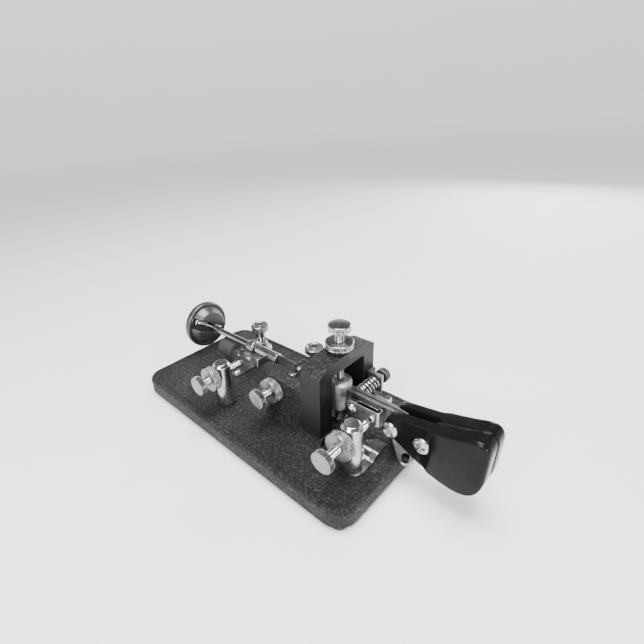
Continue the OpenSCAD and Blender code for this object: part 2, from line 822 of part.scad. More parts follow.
module terminal_nut(pos) {
    color("silver") translate([pos[0], pos[1], base_top + 11.2]) difference() {
        rotate_extrude() polygon([[0, 0], [3.2, 0], [3.2, 4], [4.7, 4.6], [5.2, 5.2], [5.2, 8], [4.5, 8.6],
                                  [3.8, 8.6], [3.2, 8], [0, 8]]);
        translate([0, 0, -1]) cylinder(r = 2.05 + fit, h = 12);
    }
}

module rear_terminal_nut() {
    terminal_nut(terminal_pos[0]);
}

module front_terminal_nut() {
    terminal_nut(terminal_pos[1]);
}

// ---------- circuit closer ----------

strip_t = 1.2;
strip_w = 9.4;
strip_step_x = -8.5;
strip_rise = 2.6;
strip_end_x = 2.4;
strip_y = dash_post_pos[1] - 1.6;

// Strip from under the dash post, stepped up to bridge over the closer's blade
module contact_strip() {
    color("silver") difference() {
        union() {
            translate([dash_post_pos[0], strip_y, base_top + 0.02]) cylinder(r = strip_w / 2, h = strip_t);
            translate([dash_post_pos[0], strip_y - strip_w / 2, base_top + 0.02])
                cube([strip_step_x - dash_post_pos[0], strip_w, strip_t]);
            translate([strip_step_x, strip_y + strip_w / 2, base_top + 0.02]) rotate([90, 0, 0])
                linear_extrude(strip_w) polygon([[-eps, 0], [strip_t * 0.6, 0], [3, strip_rise],
                    [3 + eps, strip_rise + strip_t], [3 - strip_t * 0.6, strip_rise + strip_t],
                    [-eps, strip_t]]);
            // raised end, its rear corner cut off
            translate([strip_step_x + 3, strip_y - strip_w / 2, base_top + strip_rise + 0.02])
                linear_extrude(strip_t) polygon([[0, 0], [strip_end_x - strip_step_x - 3, 0],
                    [strip_end_x - strip_step_x - 3, strip_w - 4.2],
                    [strip_end_x - strip_step_x - 7.5, strip_w], [0, strip_w]]);
        }
        translate([dash_post_pos[0], dash_post_pos[1], 0]) cylinder(r = 4.65, h = 30);
    }
}

blade_z = base_top + 0.6;
blade_len = 22.4;
blade_turn = 212;

module closer_blade() {
    color("silver") translate([closer_pivot[0], closer_pivot[1], blade_z]) rotate([0, 0, blade_turn])
        difference() {
            union() {
                cylinder(r = 3.6, h = 1.4);
                linear_extrude(1.4) polygon([[0, -3.6], [12, -5], [blade_len, -2.8], [blade_len, 2.8],
                                             [12, 4], [0, 3.6]]);
                translate([blade_len, 0, 0]) cylinder(r = 2.8, h = 1.4);
            }
            translate([0, 0, -1]) cylinder(r = 1.6 + fit, h = 4);
            translate([blade_len + 0.6, 0.6, -1]) cylinder(r = 1, h = 4);
        }
}

module closer_pivot_screw() {
    color("silver") translate([closer_pivot[0], closer_pivot[1], 0]) {
        translate([0, 0, base_top - 4]) cylinder(r = 1.45, h = 6);
        translate([0, 0, base_top + 0.02]) cylinder(r = 3, h = 0.5);
        translate([0, 0, base_top + 0.4]) cylinder(r = 1.6, h = 2);
        translate([0, 0, base_top + 2.1]) difference() {
            chamfered_disc(3.3, 1.6, 0.4);
            translate([-4, -0.4, 0.9]) cube([8, 0.8, 2]);
        }
    }
}

module closer_knob() {
    color("#1c1c1c") translate([closer_pivot[0], closer_pivot[1], blade_z]) rotate([0, 0, blade_turn])
        translate([blade_len + 0.6, 0.6, 0]) {
            cylinder(r = 0.98, h = 2);
            translate([0, 0, 1.42]) cylinder(r = 1.2, h = 1.2);
            translate([0, 0, 2.5]) chamfered_disc(1.9, 2, 0.4);
        }
}

placed() base();
placed() rubber_feet();
placed() foot_screws();
placed() frame();
placed() frame_screws();
placed() pivot_screw();
placed() pivot_locknut();
placed() lower_pivot();
placed() lever_hub();
placed() lever_bars();
placed() lever_tail();
placed() lever_rivets();
placed() near_paddle();
placed() far_paddle();
placed() paddle_screws();
placed() paddle_nuts();
placed() dash_leaf();
placed() dash_leaf_screw();
placed() dash_contact();
placed() far_lug();
placed() main_spring();
placed() spring_ferrule();
placed() pendulum_rod();
placed() rod_collar();
placed() tail_spring();
placed() dot_leaf();
placed() dot_contact();
placed() weight();
placed() weight_bar();
placed() weight_screws();
placed() dash_post();
placed() dot_post();
placed() post_bushes();
placed() post_nuts();
placed() dash_screw();
placed() dash_screw_head();
placed() dash_locknut();
placed() dot_screw();
placed() dot_screw_head();
placed() dot_locknut();
placed() ear_screw();
placed() ear_screw_head();
placed() ear_locknut();
placed() far_bracket();
placed() far_bracket_screws();
placed() far_stop_screw();
placed() coil_spring();
placed() damper_bracket();
placed() damper_bracket_screws();
placed() damper_pin();
placed() damper_roller();
placed() terminal_posts();
placed() rear_terminal_nut();
placed() front_terminal_nut();
placed() contact_strip();
placed() closer_blade();
placed() closer_pivot_screw();
placed() closer_knob();
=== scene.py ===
import json
import math

import bmesh
import bpy
from mathutils import Matrix, Vector

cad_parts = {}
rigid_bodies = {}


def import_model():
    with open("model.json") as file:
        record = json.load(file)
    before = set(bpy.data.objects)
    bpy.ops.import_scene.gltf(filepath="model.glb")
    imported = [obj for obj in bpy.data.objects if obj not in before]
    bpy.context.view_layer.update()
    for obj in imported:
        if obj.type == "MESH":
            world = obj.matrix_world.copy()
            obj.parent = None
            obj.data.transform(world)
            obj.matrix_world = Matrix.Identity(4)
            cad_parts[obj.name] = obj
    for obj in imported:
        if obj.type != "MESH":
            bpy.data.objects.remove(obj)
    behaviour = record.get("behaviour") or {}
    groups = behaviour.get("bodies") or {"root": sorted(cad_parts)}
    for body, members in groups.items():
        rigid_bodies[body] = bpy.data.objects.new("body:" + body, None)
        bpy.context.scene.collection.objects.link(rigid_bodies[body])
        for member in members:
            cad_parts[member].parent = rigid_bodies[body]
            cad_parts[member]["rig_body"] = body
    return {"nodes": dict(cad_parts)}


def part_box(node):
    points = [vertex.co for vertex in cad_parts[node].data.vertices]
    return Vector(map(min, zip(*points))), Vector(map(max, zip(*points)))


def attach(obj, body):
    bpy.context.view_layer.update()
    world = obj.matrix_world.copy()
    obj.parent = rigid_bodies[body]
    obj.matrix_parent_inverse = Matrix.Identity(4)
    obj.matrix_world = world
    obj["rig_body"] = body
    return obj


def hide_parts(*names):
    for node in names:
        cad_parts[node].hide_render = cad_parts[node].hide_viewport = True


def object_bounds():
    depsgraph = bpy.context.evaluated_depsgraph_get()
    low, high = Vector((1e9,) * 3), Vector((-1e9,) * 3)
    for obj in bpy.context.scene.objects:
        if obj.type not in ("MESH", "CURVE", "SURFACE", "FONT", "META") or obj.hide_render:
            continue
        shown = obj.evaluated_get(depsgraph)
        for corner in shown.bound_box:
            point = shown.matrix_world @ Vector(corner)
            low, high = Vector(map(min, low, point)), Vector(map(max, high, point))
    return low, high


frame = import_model()
cad_lo, cad_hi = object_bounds()

MM = 0.001
TO_MM = 1000
TAU = 2 * math.pi


# -------- materials

class Shader:
    """A principled material under construction, with short calls for its nodes."""

    def __init__(self, name, color, rough, metal=0.0):
        self.mat = bpy.data.materials.new(name)
        self.mat.use_nodes = True
        self.tree = self.mat.node_tree
        self.bsdf = self.tree.nodes["Principled BSDF"]
        self.fill(self.bsdf, Base_Color=(*color, 1), Roughness=rough, Metallic=metal)
        self.place = self.add("ShaderNodeTexCoord").outputs["Object"]

    def fill(self, node, **sockets):
        """Sets the node's own sockets, an underscore standing for a space."""
        for key, value in sockets.items():
            node.inputs[key.replace("_", " ")].default_value = value
        return node

    def add(self, kind, **sockets):
        return self.fill(self.tree.nodes.new(kind), **sockets)

    def link(self, output, node, key):
        self.tree.links.new(output, node.inputs[key])

    def stretched(self, scale):
        """The object's own coordinates, multiplied along each axis."""
        node = self.add("ShaderNodeMapping", Scale=scale)
        self.link(self.place, node, "Vector")
        return node.outputs["Vector"]

    def noise(self, scale, detail=3.0, rough=0.55, at=None, distort=0.0):
        node = self.add("ShaderNodeTexNoise", Scale=scale, Detail=detail, Roughness=rough, Distortion=distort)
        self.link(at or self.place, node, "Vector")
        return node.outputs["Fac"]

    def cells(self, scale, at):
        """Distance to the nearest cell edge."""
        node = self.add("ShaderNodeTexVoronoi", Scale=scale)
        node.feature = "DISTANCE_TO_EDGE"
        self.link(at, node, "Vector")
        return node.outputs["Distance"]

    def math(self, operation, a, b):
        node = self.tree.nodes.new("ShaderNodeMath")
        node.operation = operation
        for socket, value in zip(node.inputs, (a, b)):
            if isinstance(value, (int, float)):
                socket.default_value = value
            else:
                self.tree.links.new(value, socket)
        return node.outputs[0]

    def mixed(self, a, share_a, b, share_b):
        """The two values added, each times its share."""
        return self.math("ADD", self.math("MULTIPLY", a, share_a), self.math("MULTIPLY", b, share_b))

    def ramp(self, value, stops):
        """stops: [(position, (r, g, b))]"""
        node = self.tree.nodes.new("ShaderNodeValToRGB")
        self.link(value, node, "Fac")
        band = node.color_ramp
        while len(band.elements) < len(stops):
            band.elements.new(0.5)
        for element, (position, colour) in zip(band.elements, stops):
            element.position = position
            element.color = (*colour, 1)
        return node.outputs["Color"]

    def grey_ramp(self, value, stops):
        return self.ramp(value, [(p, (g, g, g)) for p, g in stops])

    def use(self, output, key):
        self.link(output, self.bsdf, key)

    def bump(self, height, strength, distance):
        node = self.add("ShaderNodeBump", Strength=strength, Distance=distance)
        self.link(height, node, "Height")
        self.use(node.outputs["Normal"], "Normal")


def wrinkle_enamel(name, dark, light):
    """Black wrinkle finish: short curled ridges about a millimetre apart, their crests painted lighter as a
    painted highlight where they catch the light.
    """
    s = Shader(name, (dark, dark, dark), 0.5)
    warp = s.add("ShaderNodeVectorMath")
    warp.operation = "MULTIPLY_ADD"
    wobble = s.add("ShaderNodeTexNoise", Scale=900.0, Detail=3.0)
    s.link(s.place, wobble, "Vector")
    s.tree.links.new(wobble.outputs["Color"], warp.inputs[0])
    warp.inputs[1].default_value = (0.0014, 0.0014, 0.0014)
    s.tree.links.new(s.place, warp.inputs[2])
    ridges = s.grey_ramp(s.cells(1250.0, warp.outputs[0]), [(0.0, 1.0), (0.08, 0.75), (0.26, 0.0)])
    grain = s.noise(2300.0, 4.0, 0.7)
    broken = s.grey_ramp(s.noise(700.0, 3.0, 0.6), [(0.4, 0.2), (0.62, 1.0)])
    # painted highlight: the ridge crests, broken up by grain noise, are lightened in the base colour below
    glint_grain = s.grey_ramp(grain, [(0.35, 0.3), (0.65, 1.0)])
    ridge_glint = s.math("MULTIPLY", s.math("MULTIPLY", ridges, broken), glint_grain)
    patches = s.grey_ramp(s.noise(38.0, 3.0, 0.6), [(0.3, 0.0), (0.7, 1.0)])
    shade = s.mixed(ridge_glint, 0.72, patches, 0.22)
    s.use(s.grey_ramp(shade, [(0.02, dark), (0.3, dark * 3.2), (0.85, light)]), "Base Color")
    s.use(s.grey_ramp(ridge_glint, [(0.1, 0.62), (0.9, 0.36)]), "Roughness")
    s.fill(s.bsdf, Specular_IOR_Level=0.22)
    s.bump(s.mixed(ridges, 0.7, grain, 0.6), 1.0, 0.00042)
    return s.mat


def satin_enamel(name, grey, gloss=0.2):
    """Smooth black paint with a slight orange peel and faint rubbed patches."""
    s = Shader(name, (grey, grey, grey), 0.36)
    peel = s.noise(420.0, 2.0, 0.5)
    rub = s.noise(85.0, 5.0, 0.6)
    s.use(s.grey_ramp(rub, [(0.3, 0.33), (0.75, 0.47)]), "Roughness")
    s.use(s.grey_ramp(rub, [(0.35, grey * 0.8), (0.8, grey * 1.35)]), "Base Color")
    s.fill(s.bsdf, Specular_IOR_Level=gloss, Coat_Weight=0.08, Coat_Roughness=0.25)
    s.bump(peel, 0.12, 0.0004)
    return s.mat


def nickel(name, grey=0.66, rough=0.24, grain=(1.0, 1.0, 1.0), grain_depth=0.10):
    """Nickel plate: cloudy tarnish, fine polishing lines and small dull specks."""
    s = Shader(name, (grey, grey, grey), rough, 1.0)
    cloud = s.noise(140.0, 5.0, 0.6)
    fine = s.noise(2200.0, 3.0, 0.7, at=s.stretched(grain))
    specks = s.grey_ramp(s.noise(900.0, 4.0, 0.7), [(0.58, 0.0), (0.7, 1.0)])
    clouds = s.mixed(cloud, 0.6, s.noise(520.0, 4.0, 0.7), 0.4)
    tint = s.math("SUBTRACT", clouds, s.math("MULTIPLY", specks, 0.2))
    s.use(s.ramp(tint, [(0.25, (grey * 0.55, grey * 0.55, grey * 0.54)),
                        (0.5, (grey, grey * 0.998, grey * 0.99)),
                        (0.7, (grey * 1.3, grey * 1.3, grey * 1.29))]), "Base Color")
    dull = s.mixed(cloud, 0.16, fine, 0.10)
    s.use(s.grey_ramp(dull, [(0.02, rough * 0.7), (0.24, rough * 1.65)]), "Roughness")
    s.bump(fine, grain_depth, 0.00012)
    return s.mat


def gloss_plastic(name):
    """Polished black phenolic: near black, with hairline scratches in the gloss."""
    s = Shader(name, (0.011, 0.011, 0.012), 0.14)
    swirl = s.noise(700.0, 6.0, 0.7, at=s.stretched((1.0, 0.25, 1.0)), distort=0.8)
    haze = s.noise(45.0, 4.0, 0.6)
    s.use(s.grey_ramp(s.mixed(swirl, 0.4, haze, 0.6), [(0.3, 0.09), (0.6, 0.17), (0.85, 0.30)]), "Roughness")
    s.use(s.grey_ramp(haze, [(0.3, 0.004), (0.8, 0.009)]), "Base Color")
    s.fill(s.bsdf, Specular_IOR_Level=0.11)
    s.bump(haze, 0.05, 0.0006)
    return s.mat


def rubber_black(name, grey=0.03, rough=0.7):
    """Matt black rubber with a fine grain."""
    s = Shader(name, (grey, grey, grey), rough)
    grain = s.noise(1500.0, 4.0, 0.65)
    s.use(s.grey_ramp(grain, [(0.3, grey * 0.7), (0.75, grey * 1.5)]), "Base Color")
    s.use(s.grey_ramp(grain, [(0.3, rough * 0.85), (0.8, min(1.0, rough * 1.2))]), "Roughness")
    s.bump(grain, 0.35, 0.0001)
    return s.mat


def hard_fibre(name):
    """Black vulcanised fibre, its layers lying flat."""
    s = Shader(name, (0.015, 0.014, 0.013), 0.55)
    lay = s.noise(1400.0, 4.0, 0.7, at=s.stretched((1.0, 1.0, 4.0)))
    s.use(s.ramp(lay, [(0.3, (0.009, 0.008, 0.008)), (0.8, (0.026, 0.024, 0.022))]), "Base Color")
    s.bump(lay, 0.3, 0.0001)
    return s.mat


MAT = {
    "wrinkle": wrinkle_enamel("wrinkle_enamel", 0.004, 0.11),
    "satin": satin_enamel("satin_enamel", 0.006),
    "nickel": nickel("nickel_plate", 0.38, 0.17, grain_depth=0.06),
    "bright": nickel("nickel_bright", 0.62, 0.15),
    "soft": nickel("nickel_soft", 0.24, 0.27, grain=(1.0, 0.3, 0.3), grain_depth=0.22),
    "steel": nickel("spring_steel", 0.38, 0.26, grain=(1.0, 0.08, 1.0), grain_depth=0.2),
    "polished": nickel("polished_nickel", 0.46, 0.17, grain_depth=0.04),
    # painted light: a brighter nickel than the plain plate, standing in for front light on the hub where the
    # frame shades it; the brushed satin grain is its own finish
    "lit_satin_nickel": nickel("lit_satin_nickel", 0.56, 0.40, grain=(1.0, 1.0, 0.15)),
    "dull": nickel("dull_nickel", 0.34, 0.27),
    "screw": nickel("screw_nickel", 0.5, 0.22, grain_depth=0.03),
    "plastic": gloss_plastic("black_phenolic"),
    "rubber": rubber_black("black_rubber"),
    "felt": rubber_black("roller_rubber", 0.022, 0.8),
    "fibre": hard_fibre("black_fibre"),
    "black": satin_enamel("blackened_metal", 0.016, 0.9),
}

# -------- mesh tools
# Pieces are drawn in millimetres, from a point 1 mm in front of the base's middle.
# fit_in() brings them to the frame.

home = (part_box("base")[0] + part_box("base")[1]) / 2 - Vector((0, MM, 0))
home.z = 0


def add_object(name, data):
    obj = bpy.data.objects.new(name, data)
    bpy.context.scene.collection.objects.link(obj)
    return obj


def add_mesh(name, verts, faces, look):
    mesh = bpy.data.meshes.new(name)
    mesh.from_pydata([tuple(v) for v in verts], [], faces)
    mesh.update()
    mesh.materials.append(MAT[look])
    obj = add_object(name, mesh)
    work = bmesh.new()
    work.from_mesh(mesh)
    bmesh.ops.recalc_face_normals(work, faces=work.faces)
    work.to_mesh(mesh)
    work.free()
    return obj


def bake(obj):
    graph = bpy.context.evaluated_depsgraph_get()
    mesh = bpy.data.meshes.new_from_object(obj.evaluated_get(graph))
    obj.modifiers.clear()
    obj.data = mesh
    return obj


def smooth(obj, degrees=32):
    """Smooth shading that breaks at edges sharper than the angle."""
    limit = math.radians(degrees)
    work = bmesh.new()
    work.from_mesh(obj.data)
    for face in work.faces:
        face.smooth = True
    for edge in work.edges:
        if len(edge.link_faces) == 2:
            edge.smooth = edge.calc_face_angle(0.0) < limit
    work.to_mesh(obj.data)
    work.free()
    return obj


def bevelled(obj, width=0.25, steps=3, degrees=30):
    """Rounds every edge sharper than the angle, then shades the faces smooth."""
    mod = obj.modifiers.new("edges", "BEVEL")
    mod.width = width
    mod.segments = steps
    mod.limit_method = "ANGLE"
    mod.angle_limit = math.radians(degrees)
    mod.harden_normals = True
    for face in obj.data.polygons:
        face.use_smooth = True
    return bake(obj)


def cut(obj, tool, operation="DIFFERENCE"):
    """Cuts or joins with the tool, which is used up."""
    mod = obj.modifiers.new("cut", "BOOLEAN")
    mod.operation = operation
    mod.object = tool
    mod.solver = "EXACT"
    bpy.context.view_layer.update()
    bake(obj)
    bpy.data.objects.remove(tool)
    return obj


def union(obj, *others):
    for other in others:
        cut(obj, other, "UNION")
    return obj


def moved(obj, matrix):
    obj.data.transform(matrix)
    return obj


def shifted(obj, x, y, z):
    return moved(obj, Matrix.Translation((x, y, z)))


def joined(obj, *others):
    """One object holding all the meshes, each part still a closed shell of its own."""
    bpy.ops.object.select_all(action="DESELECT")
    for part in (obj, *others):
        part.select_set(True)
    bpy.context.view_layer.objects.active = obj
    bpy.ops.object.join()
    return obj


def fit_in(obj, *nodes):
    """Brings the finished piece to metres, on its node's body and in place of the nodes."""
    obj.data.transform(Matrix.Translation(home) @ Matrix.Scale(MM, 4))
    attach(obj, frame["nodes"][nodes[0]]["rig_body"])
    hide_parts(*nodes)
    return obj


# Turns the Z axis of a turned shape towards another axis
TURN = {
    "+x": Matrix.Rotation(math.pi / 2, 4, "Y"),
    "-x": Matrix.Rotation(-math.pi / 2, 4, "Y"),
    "+y": Matrix.Rotation(-math.pi / 2, 4, "X"),
    "-y": Matrix.Rotation(math.pi / 2, 4, "X"),
    "+z": Matrix.Identity(4),
    "-z": Matrix.Rotation(math.pi, 4, "X"),
}


def put(obj, at, axis="+z", spin=0.0):
    return moved(obj, Matrix.Translation(Vector(at)) @ TURN[axis] @ Matrix.Rotation(spin, 4, "Z"))


def span(node):
    """The CAD node's box in millimetres: low corner, high corner and middle."""
    lo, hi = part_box(node)
    lo, hi = (lo - home) * TO_MM, (hi - home) * TO_MM
    return lo, hi, (lo + hi) / 2


def soften(points, radius, steps=4):
    """The open polyline with each inner corner replaced by a short curve."""
    out = [points[0]]
    for before, corner, after in zip(points, points[1:], points[2:]):
        a, b, c = Vector(before), Vector(corner), Vector(after)
        reach = min(radius, (a - b).length * 0.49, (c - b).length * 0.49)
        start = b + (a - b).normalized() * reach
        end = b + (c - b).normalized() * reach
        for i in range(steps + 1):
            t = i / steps
            out.append(tuple(start * (1 - t) ** 2 + b * 2 * t * (1 - t) + end * t * t))
    out.append(points[-1])
    return out


def quads(rows, around):
    """The faces between the rows of a closed grid with that many points to a row."""
    faces = []
    for low in range(0, (rows - 1) * around, around):
        for i in range(around):
            j = (i + 1) % around
            faces.append((low + i, low + j, low + around + j, low + around + i))
    return faces


def spun(name, profile, look, around=96, shape=None):
    """Turns a profile of (radius, height) about Z. shape(angle, radius, height) may change the radius."""
    verts, faces, rings = [], [], []
    for radius, height in profile:
        if radius < 1e-6:
            rings.append([len(verts)])
            verts.append((0, 0, height))
            continue
        ring = []
        for i in range(around):
            angle = TAU * i / around
            r = shape(angle, radius, height) if shape else radius
            ring.append(len(verts))
            verts.append((r * math.cos(angle), r * math.sin(angle), height))
        rings.append(ring)
    for low, high in zip(rings, rings[1:]):
        for i in range(around):
            j = (i + 1) % around
            if len(low) == 1:
                faces.append((low[0], high[j], high[i]))
            elif len(high) == 1:
                faces.append((low[i], low[j], high[0]))
            else:
                faces.append((low[i], low[j], high[j], high[i]))
    if len(rings[0]) > 1 and len(rings[-1]) > 1:
        for i in range(around):
            j = (i + 1) % around
            faces.append((rings[-1][i], rings[-1][j], rings[0][j], rings[0][i]))
    return add_mesh(name, verts, faces, look)


def turned(name, profile, look, around=96, degrees=30, shape=None):
    """A spun shape, shaded smooth."""
    return smooth(spun(name, profile, look, around, shape), degrees)


def wave(turns):
    """Triangle wave: 0 at whole numbers, 1 half way between them."""
    return 1 - abs(2 * (turns - math.floor(turns)) - 1)


def knurl(teeth, depth, low, high, lead=0.0):
    """Radius change for a knurled band between two heights: straight, or crossed if there's a lead."""
    def change(angle, radius, height):
        if not low <= height <= high:
            return radius
        turns = angle / TAU * teeth
        cross = height / lead if lead else 0.0
        return radius - depth * max(wave(turns + cross), wave(turns - cross))
    return change


def disc(radius, low, high, edge, rows=1, dish=0.0, bore=0.0, bore_edge=0.25):
    """Closed profile of a disc with softened rim edges, a dished face and perhaps a bore."""
    steps = 4
    inner = bore + bore_edge if bore else 0
    profile = [(inner, low)]
    for i in range(steps + 1):
        a = math.pi / 2 * i / steps
        profile.append((radius - edge + edge * math.sin(a), low + edge - edge * math.cos(a)))
    for i in range(1, rows):
        profile.append((radius, low + edge + (high - low - 2 * edge) * i / rows))
    for i in range(steps + 1):
        a = math.pi / 2 * i / steps
        profile.append((radius - edge + edge * math.cos(a), high - edge + edge * math.sin(a)))
    if dish:
        profile += [(radius - 2.2 * edge, high), (radius - 3.2 * edge, high - dish)]
    profile.append((inner, high - dish))
    if bore:
        profile += [(bore, high - dish - bore_edge), (bore, low + bore_edge)]
    return profile


def threaded(name, radius, length, pitch, look, depth=0.3, around=36, rows_per_turn=8):
    """A rod with a helical V thread from z = 0 up, its ends run out to plain chamfers."""
    rows, run_out = int(length / pitch * rows_per_turn), 0.5
    verts = []
    for row in range(rows + 1):
        z = length * row / rows
        full = min(1.0, z / run_out, (length - z) / run_out)
        for i in range(around):
            angle = TAU * i / around
            r = radius - depth * (wave(z / pitch - i / around) * full + (1 - full))
            verts.append((r * math.cos(angle), r * math.sin(angle), z))
    faces = quads(rows + 1, around)
    faces += [tuple(reversed(range(around))), tuple(range(rows * around, (rows + 1) * around))]
    return smooth(add_mesh(name, verts, faces, look), 50)


def arc(centre, radius, start, end, steps=10):
    """Points of an arc; angles in degrees."""
    out = []
    for i in range(steps + 1):
        a = math.radians(start + (end - start) * i / steps)
        out.append((centre[0] + radius * math.cos(a), centre[1] + radius * math.sin(a)))
    return out


def extruded(name, outline, low, high, look="nickel"):
    """A flat outline in X and Y, raised from z = low to z = high."""
    n = len(outline)
    verts = [(x, y, low) for x, y in outline] + [(x, y, high) for x, y in outline]
    faces = [tuple(reversed(range(n))), tuple(range(n, 2 * n))]
    faces += [(i, (i + 1) % n, n + (i + 1) % n, n + i) for i in range(n)]
    return add_mesh(name, verts, faces, look)


def block(name, low, high, look="nickel"):
    outline = [(low[0], low[1]), (high[0], low[1]), (high[0], high[1]), (low[0], high[1])]
    return extruded(name, outline, low[2], high[2], look)


def peg(radius, low, high, look="nickel", around=32):
    return spun("peg", [(0, low), (radius, low), (radius, high), (0, high)], look, around)


def rounded_outline(w, l, r, steps=14):
    w, l = w / 2 - r, l / 2 - r
    corners = ((w, l), (-w, l), (-w, -l), (w, -l))
    return [point for k, at in enumerate(corners) for point in arc(at, r, 90 * k, 90 * k + 90, steps)]


def hexagon(radius):
    corners = [math.radians(60 * i) for i in range(6)]
    return [(radius * math.cos(a), radius * math.sin(a)) for a in corners]


def ringed(name, rings, look):
    """Skins a stack of rings that have the same number of points, and closes both ends."""
    n, last = len(rings[0]), len(rings) - 1
    verts = [v for ring in rings for v in ring]
    faces = [tuple(reversed(range(n)))] + quads(len(rings), n) + [tuple(range(last * n, (last + 1) * n))]
    return add_mesh(name, verts, faces, look)


def strip(name, path, width, thick, look, edge=0.14):
    """A flat strip bent along a path in X and Y, its width standing along Z from 0."""
    side = []
    for i, point in enumerate(path):
        a = Vector(path[max(i - 1, 0)])
        b = Vector(path[min(i + 1, len(path) - 1)])
        along = (b - a).normalized()
        side.append((Vector(point), Vector((-along.y, along.x)) * thick / 2))
    outline = [tuple(p + n) for p, n in side] + [tuple(p - n) for p, n in reversed(side)]
    return bevelled(extruded(name, outline, 0, width, look), edge, 2, 40)


def coil(name, radius, wire, length, turns, look, around=10, per_turn=28):
    """A helical spring along Z from 0, its end turns closed up flat."""
    steps, closed = int(turns * per_turn), 0.75
    rings = []
    for k in range(steps + 1):
        t = k / per_turn
        rise = min(max((t - closed) / (turns - 2 * closed), 0), 1) * (length - 3.2 * wire)
        ends = min(t, closed) / closed * 0.5 + max(t - turns + closed, 0) / closed * 0.5
        z = wire + rise + wire * 1.2 * ends
        a = TAU * t
        out = Vector((math.cos(a), math.sin(a), 0))
        centre = out * radius + Vector((0, 0, z))
        ring = []
        for i in range(around):
            b = TAU * i / around
            ring.append(tuple(centre + out * wire * math.cos(b) + Vector((0, 0, wire * math.sin(b)))))
        rings.append(ring)
    return smooth(ringed(name, rings, look), 60)


def straight_slot(obj, radius, width, depth, top, turn=0.0):
    tool = block("tool", (-radius * 1.3, -width / 2, top - depth), (radius * 1.3, width / 2, top + 1))
    return cut(obj, moved(tool, Matrix.Rotation(turn, 4, "Z")))


def cross_slot(obj, radius, depth, top, turn=0.4):
    """Two crossed slots that narrow towards their bottom."""
    for more in (0, math.pi / 2):
        low, high, w = radius * 0.3, radius * 0.68, radius * 0.2
        tool = ringed("tool", [
            [(-low, -w * 0.6, top - depth), (low, -w * 0.6, top - depth),
             (low, w * 0.6, top - depth), (-low, w * 0.6, top - depth)],
            [(-high, -w, top + 0.1), (high, -w, top + 0.1), (high, w, top + 0.1), (-high, w, top + 0.1)]],
            "nickel")
        cut(obj, moved(tool, Matrix.Rotation(turn + more, 4, "Z")))
    return obj


def round_screw(name, radius, height, look, slot="straight", turn=0.0, rim=0.4):
    """A round screw head that stands on z = 0, with a short straight rim."""
    profile = [(0, 0), (radius * 0.97, 0), (radius, 0.08), (radius, rim)]
    for i in range(1, 12):
        a = math.pi / 2 * i / 12
        profile.append((radius * math.cos(a), rim + (height - rim) * math.sin(a)))
    profile.append((0, height))
    obj = spun(name, profile, look, 48)
    if slot == "cross":
        cross_slot(obj, radius, height * 0.75, height, turn)
    elif slot == "straight":
        straight_slot(obj, radius, radius * 0.26, height * 0.42, height, turn)
    return smooth(obj, 38)


def machine_screw(name, radius, height, look, slot, turn, shank, length, rim=0.4):
    """A round screw on z = 0 with a plain shank of that radius and length below it."""
    return joined(round_screw(name, radius, height, look, slot, turn, rim), peg(shank, -length, 0.1))


# -------- where things are

base_lo, base_hi, base_mid = span("base")
lever_x = span("pendulum_rod")[2].x
axis_z = span("pendulum_rod")[2].z
base_top = base_hi.z
pivot = span("lever_hub")[2]
FRONT_VIEW = Matrix(((1, 0, 0, 0), (0, 0, -1, 0), (0, 1, 0, 0), (0, 0, 0, 1)))
SIDE_VIEW = Matrix(((0, 0, 1, 0), (1, 0, 0, 0), (0, 1, 0, 0), (0, 0, 0, 1)))


# -------- base and frame

def base_shell():
    w, l = base_hi.x - base_lo.x, base_hi.y - base_lo.y

    def level(z, less_w, less_l, corner):
        plan = rounded_outline(w - less_w, l - less_l, corner)
        return [(x + base_mid.x, y + base_mid.y, z) for x, y in plan]

    def ring(inset, z):
        return level(z, 2 * inset, 2 * inset, max(10 - inset, 1.5))

    def pocket(z, more=0.0):
        """A level of the recess underneath."""
        return level(z, 21 - more, 18 - more, 6)

    low, top, edge_r = base_lo.z, base_hi.z, 2.2
    rings = [pocket(low + 4.5, -1.2), pocket(low + 4.0), pocket(low + 0.3), pocket(low, 0.6),
             ring(0.9, low), ring(0.25, low + 0.25), ring(0, low + 0.9)]
    for i in range(9):
        a = math.pi / 2 * i / 8
        rings.append(ring(edge_r - edge_r * math.cos(a), top - edge_r + edge_r * math.sin(a)))
    # a fine crease round the top
    rings += [ring(3.0, top), ring(3.35, top - 0.12), ring(3.55, top - 0.4), ring(3.85, top - 0.4),
              ring(4.05, top - 0.12), ring(4.4, top)]
    return smooth(ringed("base_shell", rings, "wrinkle"), 50)


fit_in(base_shell(), "base")


